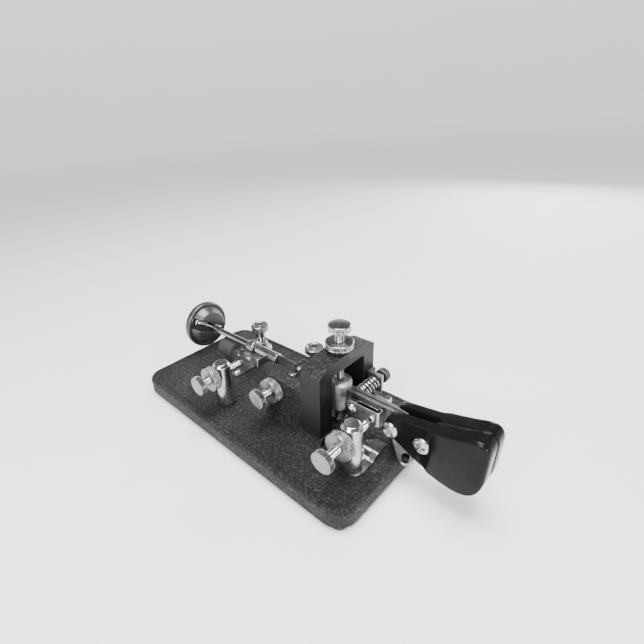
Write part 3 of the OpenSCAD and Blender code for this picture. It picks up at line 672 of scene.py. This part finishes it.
def frame_casting():
    lo, hi = span("frame")[:2]
    half, crown, wall, leg, inner_r = 21, 4, 7, 8.5, 2
    near, far, front, rear = lever_x - half, lever_x + half, lo.y + 1, lo.y + 13
    foot_z, top = base_top, hi.z - 1.5
    crown_r = (half ** 2 + crown ** 2) / (2 * crown)
    lean = math.degrees(math.asin(half / crown_r))
    outline = [(near - 0.8, foot_z), (near, top - 7)]
    outline += reversed(arc((lever_x, top - crown_r), crown_r, 90 - lean, 90 + lean, 40))
    outline += [(far, top - 7), (far + 0.8, foot_z), (far - leg, foot_z)]
    for x, start in ((far - leg - inner_r, 0), (near + leg + inner_r, 90)):
        outline += arc((x, top - 7 - inner_r), inner_r, start, start + 90, 8)
    outline += [(near + leg, foot_z)]
    casting = moved(extruded("frame_casting", outline, -rear, -front, "wrinkle"), FRONT_VIEW)
    walls = []
    for name, back, height, low, high in (("ear", hi.y - 1, 26, near, near + wall),
                                          ("stub", rear + 11, 14, far - 6, far)):
        side = [(rear - 1, foot_z), (back, foot_z)] + arc((back - 5, foot_z + height - 5), 5, 0, 90, 8)
        side += [(rear - 1, foot_z + height)]
        walls.append(moved(extruded(name, side, low, high, "wrinkle"), SIDE_VIEW))
    for x, back in ((near + 4.2, hi.y), (far - 4, lo.y + 25)):
        side = [(x - 6, foot_z), (x + 6, foot_z), (x + 4.8, foot_z + 4), (x - 4.8, foot_z + 4)]
        walls.append(moved(extruded("foot", side, -back, -lo.y, "wrinkle"), FRONT_VIEW))
    boss = put(peg(5.6, 0, 5, "wrinkle", 64), (lever_x, pivot.y, top - 3.5))
    union(casting, *walls, boss)
    cut(casting, put(peg(2.4, 0, 14, "wrinkle"), (lever_x, pivot.y, top - 9)))
    cut(casting, put(peg(2.35, 0, 12, "wrinkle"), (near - 4, span("ear_screw")[2].y, axis_z), "+x"))
    bevelled(casting, 0.55, 3, 28)
    # machined and smoothly painted: the front faces, the near side and the inside of the arch
    casting.data.materials.append(MAT["satin"])
    for face in casting.data.polygons:
        c, n = face.center, face.normal
        inside = near + 8 < c.x < far - 8 and c.z < top - 5 and front - 0.5 < c.y < rear + 0.5
        near_side = n.x < -0.9 and c.x < near + 0.1 and c.y < rear
        if (n.y < -0.7 and c.y < front + 0.6) or inside or near_side:
            face.material_index = 1
    return casting


fit_in(frame_casting(), "frame")

lo, hi, mid = span("rubber_feet")
foot_r = 4
outline = [(2.4, 0.8), (2.4, 0.15), (2.6, 0), (3.5, 0), (3.9, 0.2), (foot_r, 0.6), (3.95, hi.z), (2.4, hi.z)]
for corner, name in enumerate("abcd"):
    x = (lo.x + foot_r, hi.x - foot_r)[corner % 2]
    y = (lo.y + foot_r, hi.y - foot_r)[corner // 2]
    fit_in(put(spun("foot_" + name, outline, "rubber", 48), (x, y, 0)), "rubber_feet")
    screw = machine_screw("foot_screw_" + name, 2.2, 0.7, "soft", "cross", 0.3 + corner, 1.25, 5.2)
    fit_in(put(screw, (x, y, 0.8), "-z"), "foot_screws")

lo, hi, mid = span("frame_screws")
for name, x in (("near", lever_x - 16.5), ("far", lever_x + 16.5)):
    screw = machine_screw("frame_screw_" + name, 3.8, 2.2, "soft", "straight", 0.7, 1.95, 11.8)
    fit_in(put(screw, (x, mid.y, lo.z + 2.2), "-z"), "frame_screws")


# -------- pivots and hub

def pivot_screw():
    lo, hi, mid = span("pivot_screw")
    top, r, low = hi.z, (hi.x - lo.x) / 2, lo.z
    under = top - 3.4
    head = turned("pivot_screw", disc(r, under, top, 0.45, 10), "nickel", 216, 24,
                  knurl(34, 0.6, under + 0.5, top - 0.5))
    outline = soften([(0, under - 1.5), (3.4, under - 1.5), (3.4, under + 0.1), (0, under + 0.1)], 0.3)
    neck = turned("neck", outline, "nickel", 64, 40)
    rod = put(threaded("rod", 2.25, under - 1 - low - 2, 0.8, "nickel"), (0, 0, low + 2))
    outline = [(0, low), (0.5, low + 0.1), (1.95, low + 2), (1.95, low + 2.5), (0, low + 2.5)]
    tip = turned("tip", outline, "bright", 40)
    return shifted(joined(head, neck, rod, tip), mid.x, mid.y, 0)


fit_in(pivot_screw(), "pivot_screw")


def knurled_nut(name, node, axis, look="nickel", teeth=52, cross=0.0):
    """A turned locknut with a knurled rim, built on the CAD node's box."""
    lo, hi, mid = span(node)
    size = hi - lo
    long = 2 if axis == "+z" else 0
    t, r = size[long], max(size) / 2
    bore = 2.3 if long == 2 else 2.25
    profile = disc(r, 0, t, 0.4, 12, 0, bore, 0.5)
    nut = turned(name, profile, look, 240, 24, knurl(teeth, 0.6, 0.45, t - 0.45, cross))
    at = Vector(mid)
    at[long] = lo[long]
    return put(nut, at, axis)


fit_in(knurled_nut("pivot_locknut_ring", "pivot_locknut", "+z", teeth=42), "pivot_locknut")


def hub():
    lo, hi, mid = span("lever_hub")
    r, low, top = (hi.x - lo.x) / 2, lo.z, hi.z
    outline = [(0, low), (3.9, low), (4.4, low + 0.5), (4.4, low + 3), (r - 0.7, low + 3), (r, low + 3.7),
               (r, top - 1.2), (r - 0.5, top - 0.35), (r - 1.3, top), (3.4, top), (2.9, top - 0.3),
               (2.7, top - 1.6), (0, top - 1.6)]
    # the hub's brighter satin nickel is painted light, for the front light that the frame keeps off it
    return shifted(turned("hub", soften(outline, 0.3, 3), "lit_satin_nickel", 96, 40), mid.x, mid.y, 0)


fit_in(hub(), "lever_hub")


def lower_pivot():
    lo, hi, mid = span("lower_pivot")
    post = [(0, lo.z), (3.7, lo.z), (4, lo.z + 0.3), (4, lo.z + 2), (2.45, lo.z + 2), (2.45, base_top),
            (4.2, base_top), (4.2, base_top + 2.7), (3.9, base_top + 3), (2.45, base_top + 3),
            (2.4, hi.z - 2), (0.5, hi.z - 0.1), (0, hi.z)]
    return shifted(turned("lower_pivot_post", post, "nickel", 64), mid.x, mid.y, 0)


fit_in(lower_pivot(), "lower_pivot")


# -------- lever

def lever_plates():
    lo, hi = span("lever_bars")[:2]
    out, inn = (hi.x - lo.x) / 2, 0.45
    tongue = [(-60.5, axis_z - 3.5), (-65.5, axis_z - 9), (-70.5, axis_z - 9), (-70.5, axis_z - 3.5)]
    plates = []
    for side in (-1, 1):
        plan = [(side * inn, hi.y), (side * out, hi.y), (side * out, lo.y + 6.5), (side * (inn + 0.15), lo.y),
                (side * inn, lo.y)]
        plate = extruded("lever_plate", plan, axis_z - 4, axis_z + 4, "steel")
        low, high = sorted((side * inn, side * out))
        union(plate, moved(extruded("tongue", tongue, low, high, "steel"), SIDE_VIEW))
        plates.append(bevelled(plate, 0.22, 3, 30))
    packing = block("packing", (-inn, pivot.y - 12, axis_z - 4), (inn, pivot.y - 7, axis_z + 2), "steel")
    return shifted(joined(*plates, bevelled(packing, 0.1)), lever_x, 0, 0)


fit_in(lever_plates(), "lever_bars")


def tail():
    lo, hi, mid = span("lever_tail")
    bar = block("tail_bar", (mid.x - 2.25, lo.y, axis_z - 4), (mid.x + 2.25, hi.y - 3, axis_z + 4))
    clamp = block("clamp", (lo.x, hi.y - 6, lo.z), (hi.x, hi.y, hi.z))
    cut(clamp, block("slit", (mid.x - 0.25, hi.y - 5, lo.z - 1), (mid.x + 0.25, hi.y + 1, hi.z + 1)))
    return joined(bevelled(bar, 0.3), bevelled(clamp, 0.45, 4))


fit_in(tail(), "lever_tail")

lo, hi, mid = span("lever_rivets")
for side, axis in ((-1, "-x"), (1, "+x")):
    for z in (-2.8, 2.8):
        rivet = round_screw(f"rivet_{side + 1}_{int(z > 0)}", 1.5, 0.88, "bright", "none", 0, 0.15)
        fit_in(put(rivet, (mid.x + side * 3.27, mid.y, axis_z + z), axis), "lever_rivets")

lo, hi, mid = span("far_lug")
lug = union(block("lug", lo, (hi.x, lo.y + 2.4, axis_z + 3.5), "bright"),
            block("flap", lo, (lo.x + 0.9, hi.y, hi.z), "bright"))
fit_in(bevelled(lug, 0.25), "far_lug")


def leaf():
    lo, hi = span("dash_leaf")[:2]
    r, t, x, h = 2.0, 0.5, lo.x, 8.0
    bend = lo.y + r
    screw_y = bend + 12.7
    low, high = axis_z - h / 2, axis_z + h / 2
    path = [(x + t / 2, screw_y)] + arc((x + r, bend), r - t / 2, 180, 360, 16)
    path.append((x + 2 * r - t / 2, screw_y + 3))
    loop = shifted(strip("leaf_loop", path, h, t, "steel"), 0, 0, low)
    eye = put(turned("eye", disc(h / 2, 0, t, 0.14), "steel", 72), (x, screw_y, axis_z), "+x")
    gap = block("gap", (x + t, screw_y - 2.2, low), (x + 2 * r - t, screw_y + 2.2, high))
    pad = block("pad", (x + 2 * r - 1.7, bend, low), (hi.x, screw_y + 3, high))
    return joined(loop, eye, bevelled(gap, 0.2), bevelled(pad, 0.25))


fit_in(leaf(), "dash_leaf")
lo, hi, mid = span("dash_leaf_screw")
head = 1.7
screw = machine_screw("leaf_screw", 2.6, head, "bright", "straight", 0.5, 1.15, hi.x - lo.x - head)
fit_in(put(screw, (lo.x + head, mid.y, mid.z), "-x"), "dash_leaf_screw")

for node in ("dash_contact", "dot_contact"):
    lo, hi, mid = span(node)
    outline = soften([(0, 0), (1.5, 0), (1.5, 0.6), (1.1, hi.x - lo.x), (0, hi.x - lo.x)], 0.15)
    tip = turned(node + "_tip", outline, "bright", 40, 40)
    fit_in(put(tip, (hi.x, mid.y, mid.z), "-x"), node)


# -------- finger pieces

def finger_piece(name, node, side):
    """Rounded slab skinned along the lever: thin neck, soft shoulder, thick blade, rounded front end."""
    front, z = span(node)[0].y, axis_z
    # Y, lower and upper edge from the axis, inner and outer face from the lever's middle, corner radius
    rows = [
        (-69.2, -3.4, -0.4, 2.3, 6.6, 0.9), (-70.2, -4.8, 2.3, 2.3, 6.85, 1.0),
        (-71.6, -5.8, 4.6, 2.3, 6.87, 1.1), (-73.6, -6.7, 5.6, 2.3, 6.87, 1.2),
        (-78.0, -8.9, 6.3, 2.3, 6.87, 1.2), (-83.0, -11.6, 7.1, 2.3, 6.87, 1.2),
        (-87.0, -13.6, 7.8, 2.3, 6.87, 1.3), (-89.4, -14.3, 8.2, 2.3, 6.95, 1.4),
        (-90.6, -14.6, 8.35, 1.6, 7.6, 1.5), (-91.4, -14.8, 8.5, 0.5, 8.15, 1.6),
        (-92.6, -15.1, 8.75, 0.15, 8.3, 1.6), (-97.0, -16.2, 9.9, 0.15, 8.33, 1.7),
        (-101.5, -17.0, 11.2, 0.15, 8.33, 1.8), (-105.0, -16.9, 12.4, 0.15, 8.33, 1.8),
        (-108.0, -16.0, 13.2, 0.15, 8.33, 1.9), (-110.0, -14.6, 13.3, 0.15, 8.33, 2.0),
        (-111.6, -12.4, 12.6, 0.2, 8.25, 2.1), (-112.7, -9.6, 11.4, 0.5, 7.9, 2.2),
        (-113.3, -6.6, 9.8, 1.0, 7.3, 2.2), (-113.5, -4.6, 8.4, 1.9, 6.4, 2.0)]
    rings = []
    for y, low, high, inner, outer, r in rows:
        y, low, high = max(y, front), z + low, z + high
        w, h = outer - inner, high - low
        r = min(r, w / 2 - 0.02, h / 2 - 0.02)
        inner_r = min(r, 0.45)
        near = inner + inner_r
        plan = (arc((outer - r, high - r), r, 0, 90, 7) + arc((near, high - inner_r), inner_r, 90, 180, 7)
                + arc((near, low + inner_r), inner_r, 180, 270, 7) + arc((outer - r, low + r), r, 270, 360, 7))
        rings.append([(lever_x + side * x, y, zz) for x, zz in plan])
    piece = ringed(name, rings, "plastic")
    # two grooves along the top edge of the blade
    path = [(-95.5, z + 9.6), (-101.5, z + 11.25), (-106.5, z + 12.9), (-109.5, z + 13.5)]
    wedge = ((-0.32, 0.4), (0.32, 0.4), (0, -0.38))
    for x in (2.6, 5.6):
        tool = [[(lever_x + side * (x + dx), y, zz + dz) for dx, dz in wedge] for y, zz in path]
        cut(piece, ringed("groove", tool, "plastic"))
    return smooth(piece, 42)


fit_in(finger_piece("near_finger_piece", "near_paddle", -1), "near_paddle")
fit_in(finger_piece("far_finger_piece", "far_paddle", 1), "far_paddle")

lo, hi, mid = span("paddle_screws")
nut_lo, nut_hi = span("paddle_nuts")[:2]
head = 1.9
for tag, y, turn in (("rear", hi.y - 3.3, 0.5), ("front", lo.y + 3.3, 0.1)):
    screw = machine_screw("paddle_screw_" + tag, 3.85, head, "screw", "cross", turn,
                          1.5, hi.x - lo.x - head - 0.4, 0.35)
    fit_in(put(screw, (lo.x + head, y, mid.z), "-x"), "paddle_screws")
    nut = bevelled(extruded("paddle_nut_" + tag, hexagon(3), 0, nut_hi.x - nut_lo.x, "nickel"), 0.22)
    cut(nut, peg(1.56, -1, 4))
    fit_in(put(nut, (nut_lo.x, y, mid.z), "+x"), "paddle_nuts")


# -------- contact posts and thumbscrews

def contact_post(name, node):
    lo, hi, mid = span(node)
    low, top, r = base_top + 1.3, hi.z, 4.8
    outline = [(0, low), (r + 0.4, low), (r + 0.8, low + 0.4), (r + 0.72, low + 2.2), (r, top - 1.5),
               (r - 1.2, top - 0.1), (r - 1.5, top), (0, top)]
    post = spun(name, soften(outline, 0.25, 3), "polished", 120)
    screw_z = span(node.replace("post", "screw"))[2].z
    cut(post, put(peg(2.25, -20, 20), (0, 0, screw_z), "+x"))
    stud = peg(1.95, lo.z, low + 0.5)
    return shifted(joined(smooth(post, 30), stud), mid.x, mid.y, 0)


fit_in(contact_post("dash_pillar", "dash_post"), "dash_post")
fit_in(contact_post("dot_pillar", "dot_post"), "dot_post")

for tag in ("dash", "dot"):
    mid = span(tag + "_post")[2]
    # a washer on top of the base, a sleeve through it and a flange below
    bush = []
    for name, r, low, high, edge, around in ((tag + "_bush", 4.6, base_top + 0.02, base_top + 1.27, 0.2, 64),
                                             ("sleeve", 3.15, 6, base_top + 0.1, 0.1, 48),
                                             ("flange", 3.8, 4.8, 5.98, 0.2, 48)):
        bush.append(turned(name, disc(r, low, high, edge, 1, 0, 2.0, edge), "fibre", around))
    fit_in(shifted(joined(*bush), mid.x, mid.y, 0), "post_bushes")
    nut = cut(bevelled(extruded(tag + "_post_nut", hexagon(3.4), 2.5, 4.7, "soft"), 0.3), peg(1.98, 0, 9))
    fit_in(shifted(nut, mid.x, mid.y, 0), "post_nuts")


def thumbscrew(tag):
    lo, hi, mid = span(tag + "_screw")
    tip_l = 2
    rod = threaded(tag + "_shank", 2.2, hi.x - tip_l - lo.x, 0.9, "bright", 0.32)
    outline = soften([(0, -0.1), (1.4, -0.1), (1.4, 1.5), (1.0, tip_l), (0, tip_l)], 0.12)
    tip = put(turned("tip", outline, "bright", 40), (hi.x - tip_l, mid.y, mid.z), "+x")
    fit_in(joined(put(rod, (lo.x, mid.y, mid.z), "+x"), tip), tag + "_screw")
    lo, hi, mid = span(tag + "_screw_head")
    t, r = 3.2, (hi.y - lo.y) / 2
    outline = [(0, 0.25), (r * 0.45, 0.2), (r - 0.75, 0), (r - 0.2, 0.15), (r, 0.45)]
    outline += [(r, 0.45 + (t - 0.9) * i / 8) for i in range(1, 9)]
    # the head's hub and its bore go over the shank's end
    outline += [(r - 0.18, t - 0.18), (r - 0.6, t), (3.1, t), (3.0, t + 0.4), (2.8, t + 0.6), (2.25, t + 0.6),
                (2.25, 1.0), (0, 1.0)]
    head = turned(tag + "_knob", outline, "soft", 264, 24, knurl(30, 0.7, 0.35, t - 0.35))
    fit_in(put(head, (lo.x, mid.y, mid.z), "+x"), tag + "_screw_head")
    fit_in(knurled_nut(tag + "_nut", tag + "_locknut", "+x", "soft", 34, 1.5), tag + "_locknut")


for tag in ("dash", "dot", "ear"):
    thumbscrew(tag)


# -------- far side hardware

def far_bracket():
    lo, hi = span("far_bracket")[:2]
    arm = block("far_angle", (lo.x, lo.y, axis_z - 5), (lo.x + 1.6, hi.y, axis_z + 5), "dull")
    plate = block("plate", (lo.x, hi.y - 1.6, lo.z), (hi.x, hi.y, hi.z), "dull")
    union(arm, plate)
    cut(arm, put(peg(2.1, -4, 6), (lo.x, span("far_stop_screw")[2].y, axis_z), "+x"))
    return bevelled(arm, 0.3)


fit_in(far_bracket(), "far_bracket")
lo, hi, mid = span("far_bracket_screws")
for tag, z in (("low", lo.z + 1.6), ("high", hi.z - 1.6)):
    screw = machine_screw("bracket_screw_" + tag, 1.6, 1.0, "bright", "straight", 0.9, 0.95, 4.4, 0.2)
    fit_in(put(screw, (mid.x, lo.y + 1.0, z), "-y"), "far_bracket_screws")

lo, hi, mid = span("far_stop_screw")
length = hi.x - lo.x
rod = threaded("far_screw", 2.0, 9.8, 0.8, "black")
ring = turned("ring", disc(2.7, 5.9, 8.3, 0.25, 6), "black", 96, 24, knurl(30, 0.15, 6.4, 7.9))
head = turned("head", disc(3.7, 9.6, length, 0.4, 10, 0.25), "black", 180, 24,
              knurl(40, 0.2, 10.2, length - 0.6))
fit_in(put(joined(rod, ring, head), (lo.x, mid.y, mid.z), "+x"), "far_stop_screw")

lo, hi, mid = span("coil_spring")
spring = coil("tension_spring", 3.2, 0.45, hi.x - lo.x, 6.5, "bright")
fit_in(put(spring, (lo.x, mid.y, mid.z), "+x"), "coil_spring")


# -------- pendulum

lo, hi, mid = span("main_spring")
flexure = strip("flexure", [(mid.x, lo.y), (mid.x, lo.y + 5), (mid.x, hi.y)], hi.z - lo.z, 0.4, "steel", 0.08)
fit_in(shifted(flexure, 0, 0, lo.z), "main_spring")


def ferrule():
    lo, hi, mid = span("spring_ferrule")
    length, r = hi.y - lo.y, 3.1
    outline = [(0, 0), (r - 0.4, 0), (r, 0.4), (r, length - 0.4), (r - 0.4, length), (0, length)]
    body = spun("ferrule", soften(outline, 0.15), "bright")
    for angle in (60, 90, 120, 180, 0, 30, 150):
        tool = block("groove", (2.75, -0.28, 1.2), (4, 0.28, length - 1.2), "bright")
        cut(body, moved(tool, Matrix.Rotation(math.radians(-angle), 4, "Z")))
    return put(smooth(body, 30), (mid.x, lo.y, mid.z), "+y")


fit_in(ferrule(), "spring_ferrule")
lo, hi, mid = span("pendulum_rod")
length = hi.y - lo.y
outline = soften([(0, 0), (2, 0), (2, length - 0.6), (1.4, length), (0, length)], 0.2)
rod = turned("reed_rod", outline, "nickel", 64, 40)
fit_in(put(rod, (mid.x, lo.y, mid.z), "+y"), "pendulum_rod")
lo, hi, mid = span("rod_collar")
outline = [(2.02, 0), (3.4, 0), (4.2, 0.9), (4.2, 4.4), (3.7, 5.4), (2.9, 7.2), (2.5, 7.5), (2.02, 7.5)]
collar = turned("collar", soften(outline + [outline[0]], 0.25, 3)[:-1], "dull", 80, 35)
fit_in(put(collar, (mid.x, lo.y, mid.z), "+y"), "rod_collar")


def tail_hairpin():
    lo, hi = span("tail_spring")[:2]
    r, t = 3.28, 0.6
    x, bend = hi.x - r, hi.y - r
    path = [(x + r - t / 2, lo.y)] + arc((x, bend), r - t / 2, 0, 180, 16) + [(x - r + t / 2, lo.y)]
    loop = shifted(strip("tail_hairpin", path, 6, t, "steel"), 0, 0, lo.z)
    tab = bevelled(block("tab", (hi.x - t, lo.y, lo.z + 6), (hi.x, lo.y + 5, hi.z), "steel"), 0.12)
    return joined(loop, tab)


fit_in(tail_hairpin(), "tail_spring")
lo, hi, mid = span("dot_leaf")
path = soften([(hi.x, lo.y + 0.25), (lo.x + 0.25, lo.y + 0.25), (lo.x + 0.25, hi.y)], 1.6, 6)
fit_in(shifted(strip("dot_blade", path, hi.z - lo.z, 0.5, "steel"), 0, 0, lo.z), "dot_leaf")


# -------- weight

def weight():
    lo, hi, mid = span("weight")
    r = (hi.x - lo.x) / 2
    outline = [(0, -2), (r - 2.6, -2), (r - 0.6, -0.6), (r, 0.8), (r, 3.0), (r - 0.5, 3.8), (r - 1.2, 4.0),
               (r - 2.2, 3.8), (r - 3.0, 3.4), (r - 3.4, 2.6), (0, 2.6)]
    body = turned("bell_weight", soften(outline, 0.5, 3), "black", 160)
    outline = [(0, 2), (r - 1.9, 2), (r - 2.2, 3.4), (r - 5.0, 8.2), (r - 5.5, 8.8), (r - 6.4, 9), (0, 9)]
    lobes = spun("lobes", outline, "black", 120)
    cut(lobes, block("slot", (-20, -3.6, 1), (20, 3.6, 12), "black"))
    moved(bevelled(lobes, 0.35, 3, 35), Matrix.Rotation(math.radians(-27), 4, "Z"))
    for part in (body, lobes):
        cut(part, spun("bore", [(0, -4), (2.06, -4), (2.06, 12), (0, 12)], "black", 64))
    return put(joined(body, lobes), (mid.x, hi.y - 2, mid.z), "-y")


fit_in(weight(), "weight")
bar_turn = math.radians(-34)
lo, hi, mid = span("weight_bar")
bar = bevelled(block("weight_clamp", (-11, -1.7, 0), (11, 1.7, hi.y - lo.y), "bright"), 0.5, 4)
cut(bar, peg(2.05, -3, 5))
fit_in(put(bar, (mid.x, hi.y, mid.z), "-y", bar_turn), "weight_bar")
lo, hi, mid = span("weight_screws")
for tag, s in (("near", -1), ("far", 1)):
    screw = round_screw("clamp_screw_" + tag, 1.45, 0.8, "bright", "straight", 0.8, 0.1)
    at = Matrix.Rotation(bar_turn, 4, "Z") @ Vector((s * 8, 0, 0))
    fit_in(put(screw, (mid.x + at.x, hi.y, mid.z + at.y), "-y"), "weight_screws")


# -------- damper

def damper_bracket():
    lo, hi = span("damper_bracket")[:2]
    front, back = 40.3, 41.5
    foot = block("damper_angle", (lo.x, lo.y, base_top + 0.02), (hi.x, hi.y, base_top + 1.22), "dull")
    upright = block("upright", (0.5, front, base_top), (11.5, back, hi.z), "dull")
    rib = block("rib", (lo.x, front, base_top + 0.6), (hi.x, back, base_top + 3.2), "dull")
    gusset = extruded("gusset", [(11.4, 12.5), (18, 12.5), (11.4, 21.5)], -back, -front, "dull")
    union(foot, upright, rib, moved(gusset, FRONT_VIEW))
    for x in (-2.5, 15.5):
        cut(foot, put(peg(1.2, 0, 20), (x, lo.y + 4.5, 8)))
    return bevelled(foot, 0.22)


fit_in(damper_bracket(), "damper_bracket")
lo, hi, mid = span("damper_bracket_screws")
for tag, x in (("near", lo.x + 2.1), ("far", hi.x - 2.1)):
    screw = machine_screw("damper_screw_" + tag, 2.1, 1.2, "bright", "straight", x, 1.05, 5.9, 0.3)
    fit_in(put(screw, (x, mid.y, hi.z - 1.2)), "damper_bracket_screws")
lo, hi, mid = span("damper_pin")
outline = [(0, 0), (2.1, 0), (2.4, 0.3), (2.4, 1.1), (2.1, 1.4), (1.5, 1.4), (1.5, 15.8), (2.1, 15.8),
           (2.4, 16.1), (2.4, 16.7), (2.1, 17), (0, 17)]
fit_in(put(turned("damper_axle", outline, "bright", 48), (mid.x, lo.y, mid.z), "+y"), "damper_pin")
lo, hi, mid = span("damper_roller")
r, length = (hi.x - lo.x) / 2, hi.y - lo.y
outline = [(1.55, 0), (r - 0.8, 0), (r - 0.2, 0.25), (r, 0.9), (r, length - 0.9), (r - 0.2, length - 0.25),
           (r - 0.8, length), (1.55, length)]
fit_in(put(turned("damper_drum", outline, "felt"), (mid.x, lo.y, mid.z), "+y"), "damper_roller")


# -------- terminals

for tag in ("rear", "front"):
    lo, hi, mid = span(tag + "_terminal_nut")
    outline = [(0, 0), (5.6, 0), (7, 0.3), (7, 2.0), (6.4, 2.8), (5.2, 3.5), (4.3, 3.9), (4.2, 6.8),
               (3.6, 7.6), (0, 7.6)]
    foot = turned(tag + "_terminal_foot", soften(outline, 0.35, 3), "dull", 96, 35)
    shifted(foot, 0, 0, base_top + 0.02)
    stud = put(threaded("stud", 2.05, 31.5 - base_top - 7, 0.8, "nickel"), (0, 0, base_top + 7))
    under = peg(2.05, 2.5, base_top + 0.1)
    nut = bevelled(extruded("nut", hexagon(3.4), 2.5, 5.9, "soft"), 0.3)
    fit_in(shifted(joined(foot, stud, under, nut), mid.x, mid.y, 0), "terminal_posts")
    outline = [(2.12, 0), (3.0, 0), (3.2, 0.3), (3.2, 3.9), (4.9, 4.5), (5.7, 5.2), (5.7, 5.8), (5.7, 6.6),
               (5.7, 7.4), (5.7, 8.0), (5.3, 8.5), (4.8, 8.6), (4.3, 8.5), (3.9, 8.2), (3.0, 8.1), (2.12, 8.1)]
    cap = turned(tag + "_terminal_cap", outline, "dull", 192, 24, knurl(44, 0.16, 5.1, 8.1))
    fit_in(shifted(cap, mid.x, mid.y, lo.z), tag + "_terminal_nut")


# -------- circuit closer

def contact_strip():
    lo, hi, mid = span("contact_strip")
    t, step, rise, low = 1.2, -8.5, 2.6, base_top + 0.02
    side = soften([(lo.x + 4.7, low), (step, low), (step + 3, low + rise), (hi.x, low + rise)], 1.4, 5)
    upper = [(x, z + t) for x, z in reversed(side)]
    plate = moved(extruded("closer_strip", side + upper, -hi.y, -lo.y, "bright"), FRONT_VIEW)
    corner = [(hi.x - 4.9, hi.y + 0.5), (hi.x + 1, hi.y + 0.5), (hi.x + 1, hi.y - 5.2)]
    cut(plate, extruded("corner", corner, 5, 30))
    union(plate, put(peg((hi.y - lo.y) / 2, 0, t, "bright", 64), (lo.x + 4.7, mid.y, low)))
    post = span("dash_post")[2]
    cut(plate, put(peg(4.65, 0, 30, "nickel", 64), (post.x, post.y, 0)))
    return bevelled(plate, 0.22, 3, 38)


fit_in(contact_strip(), "contact_strip")


def closer_blade():
    lo, hi = span("closer_blade")[:2]
    pin = span("closer_pivot_screw")[2]
    outline = arc((0, 0), 3.6, 100, 260, 16) + [(12, -5)] + arc((22.4, 0), 2.8, -75, 75, 12) + [(12, 4)]
    blade = extruded("blade", outline, lo.z, hi.z, "dull")
    cut(blade, peg(1.65, 0, 30))
    return put(bevelled(blade, 0.3, 4, 35), (pin.x, pin.y, 0), "+z", math.radians(212))


fit_in(closer_blade(), "closer_blade")
lo, hi, mid = span("closer_pivot_screw")
outline = soften([(0, 13.6), (2.9, 13.6), (3.3, 14), (3.3, 14.6), (2.6, 15.2), (0, 15.2)], 0.25)
head = smooth(straight_slot(spun("closer_pin", outline, "bright", 64), 3.3, 0.8, 0.7, 15.2, 0.6), 30)
pin = joined(head, peg(3, base_top + 0.02, base_top + 0.52), peg(1.6, base_top - 4, 13.7))
fit_in(shifted(pin, mid.x, mid.y, 0), "closer_pivot_screw")
lo, hi, mid = span("closer_knob")
outline = [(0, 0), (0.98, 0), (0.98, 1.42), (1.2, 1.42), (1.2, 2.5), (1.6, 2.5), (1.9, 2.9), (1.9, 4.0),
           (1.5, 4.4), (0.6, 4.5), (0, 4.5)]
button = turned("closer_button", soften(outline, 0.2, 3), "plastic", 56, 35)
fit_in(shifted(button, mid.x, mid.y, lo.z), "closer_knob")


# -------- stage

def look_from(eye, target, roll):
    forward = (target - eye).normalized()
    right = forward.cross(Vector((0, 0, 1))).normalized()
    up = right.cross(forward)
    c, s = math.cos(roll), math.sin(roll)
    right, up = right * c + up * s, up * c - right * s
    turn = Matrix((right, up, -forward)).transposed().to_4x4()
    return Matrix.Translation(eye) @ turn


camera_data = bpy.data.cameras.new("camera")
camera = add_object("camera", camera_data)
bpy.context.scene.camera = camera
camera_data.sensor_width = 36
camera_data.lens = 22.27
camera_data.shift_x = 0.065
camera_data.shift_y = 0.025
eye, target = Vector((-122.2, -138.7, 152.8)), Vector((34.3, 31.9, 21.5))
camera.matrix_world = look_from(eye * MM + home, target * MM + home, -0.0816)


def area_light(name, at, aim, size, power):
    data = bpy.data.lights.new(name, "AREA")
    data.shape = "RECTANGLE"
    data.size, data.size_y = size
    data.energy = power
    add_object(name, data).matrix_world = look_from(Vector(at), Vector(aim), 0.0)


area_light("key", (-0.50, -0.10, 0.42), (0, 0, 0.02), (0.26, 0.24), 4.6)
area_light("top", (0.0, 0.0, 0.85), (0.001, 0, 0), (0.5, 0.5), 18.0)
area_light("rim", (0.70, 0.05, 0.30), (0, 0, 0.02), (0.25, 0.30), 4.0)
area_light("fill", (-0.35, -0.85, 0.28), (0, 0, 0.02), (0.25, 0.25), 6.0)

world = bpy.data.worlds.new("studio")
bpy.context.scene.world = world
world.use_nodes = True
world.node_tree.nodes["Background"].inputs[0].default_value = (0.95, 0.95, 0.95, 1)
world.node_tree.nodes["Background"].inputs[1].default_value = 0.16

# a round floor that sweeps up to a low pale wall far from the key
flat_r, sweep_r, wall_h = 3.0, 0.8, 1.6
profile = [(r, 0) for r in (0.02, 0.3, 0.8, 1.6, 2.4, flat_r)]
for degrees in range(6, 91, 6):
    a = math.radians(degrees)
    profile.append((flat_r + sweep_r * math.sin(a), sweep_r - sweep_r * math.cos(a)))
profile.append((flat_r + sweep_r, wall_h))
count = 96
turns = [TAU * i / count for i in range(count)]
points = [(r * math.cos(a), r * math.sin(a), cad_lo.z + z) for r, z in profile for a in turns]
floor = smooth(add_mesh("floor", points, quads(len(profile), count) + [tuple(range(count))], "plastic"), 60)
floor.data.materials.clear()
pale = Shader("pale_floor", (0.86, 0.86, 0.86), 0.7)
pale.use(pale.grey_ramp(pale.noise(3.0, 2.0), [(0.3, 0.84), (0.7, 0.88)]), "Base Color")
# the far floor and wall glow faintly, as if lit by their own lamps
reach = pale.add("ShaderNodeVectorMath")
reach.operation = "LENGTH"
pale.link(pale.place, reach, "Vector")
glow = pale.math("DIVIDE", reach.outputs["Value"], 4.0)
pale.use(pale.grey_ramp(glow, [(0.12, 0.0), (0.3, 0.42), (0.5, 0.62), (0.8, 0.66)]), "Emission Color")
pale.fill(pale.bsdf, Emission_Strength=1.0)
floor.data.materials.append(pale.mat)
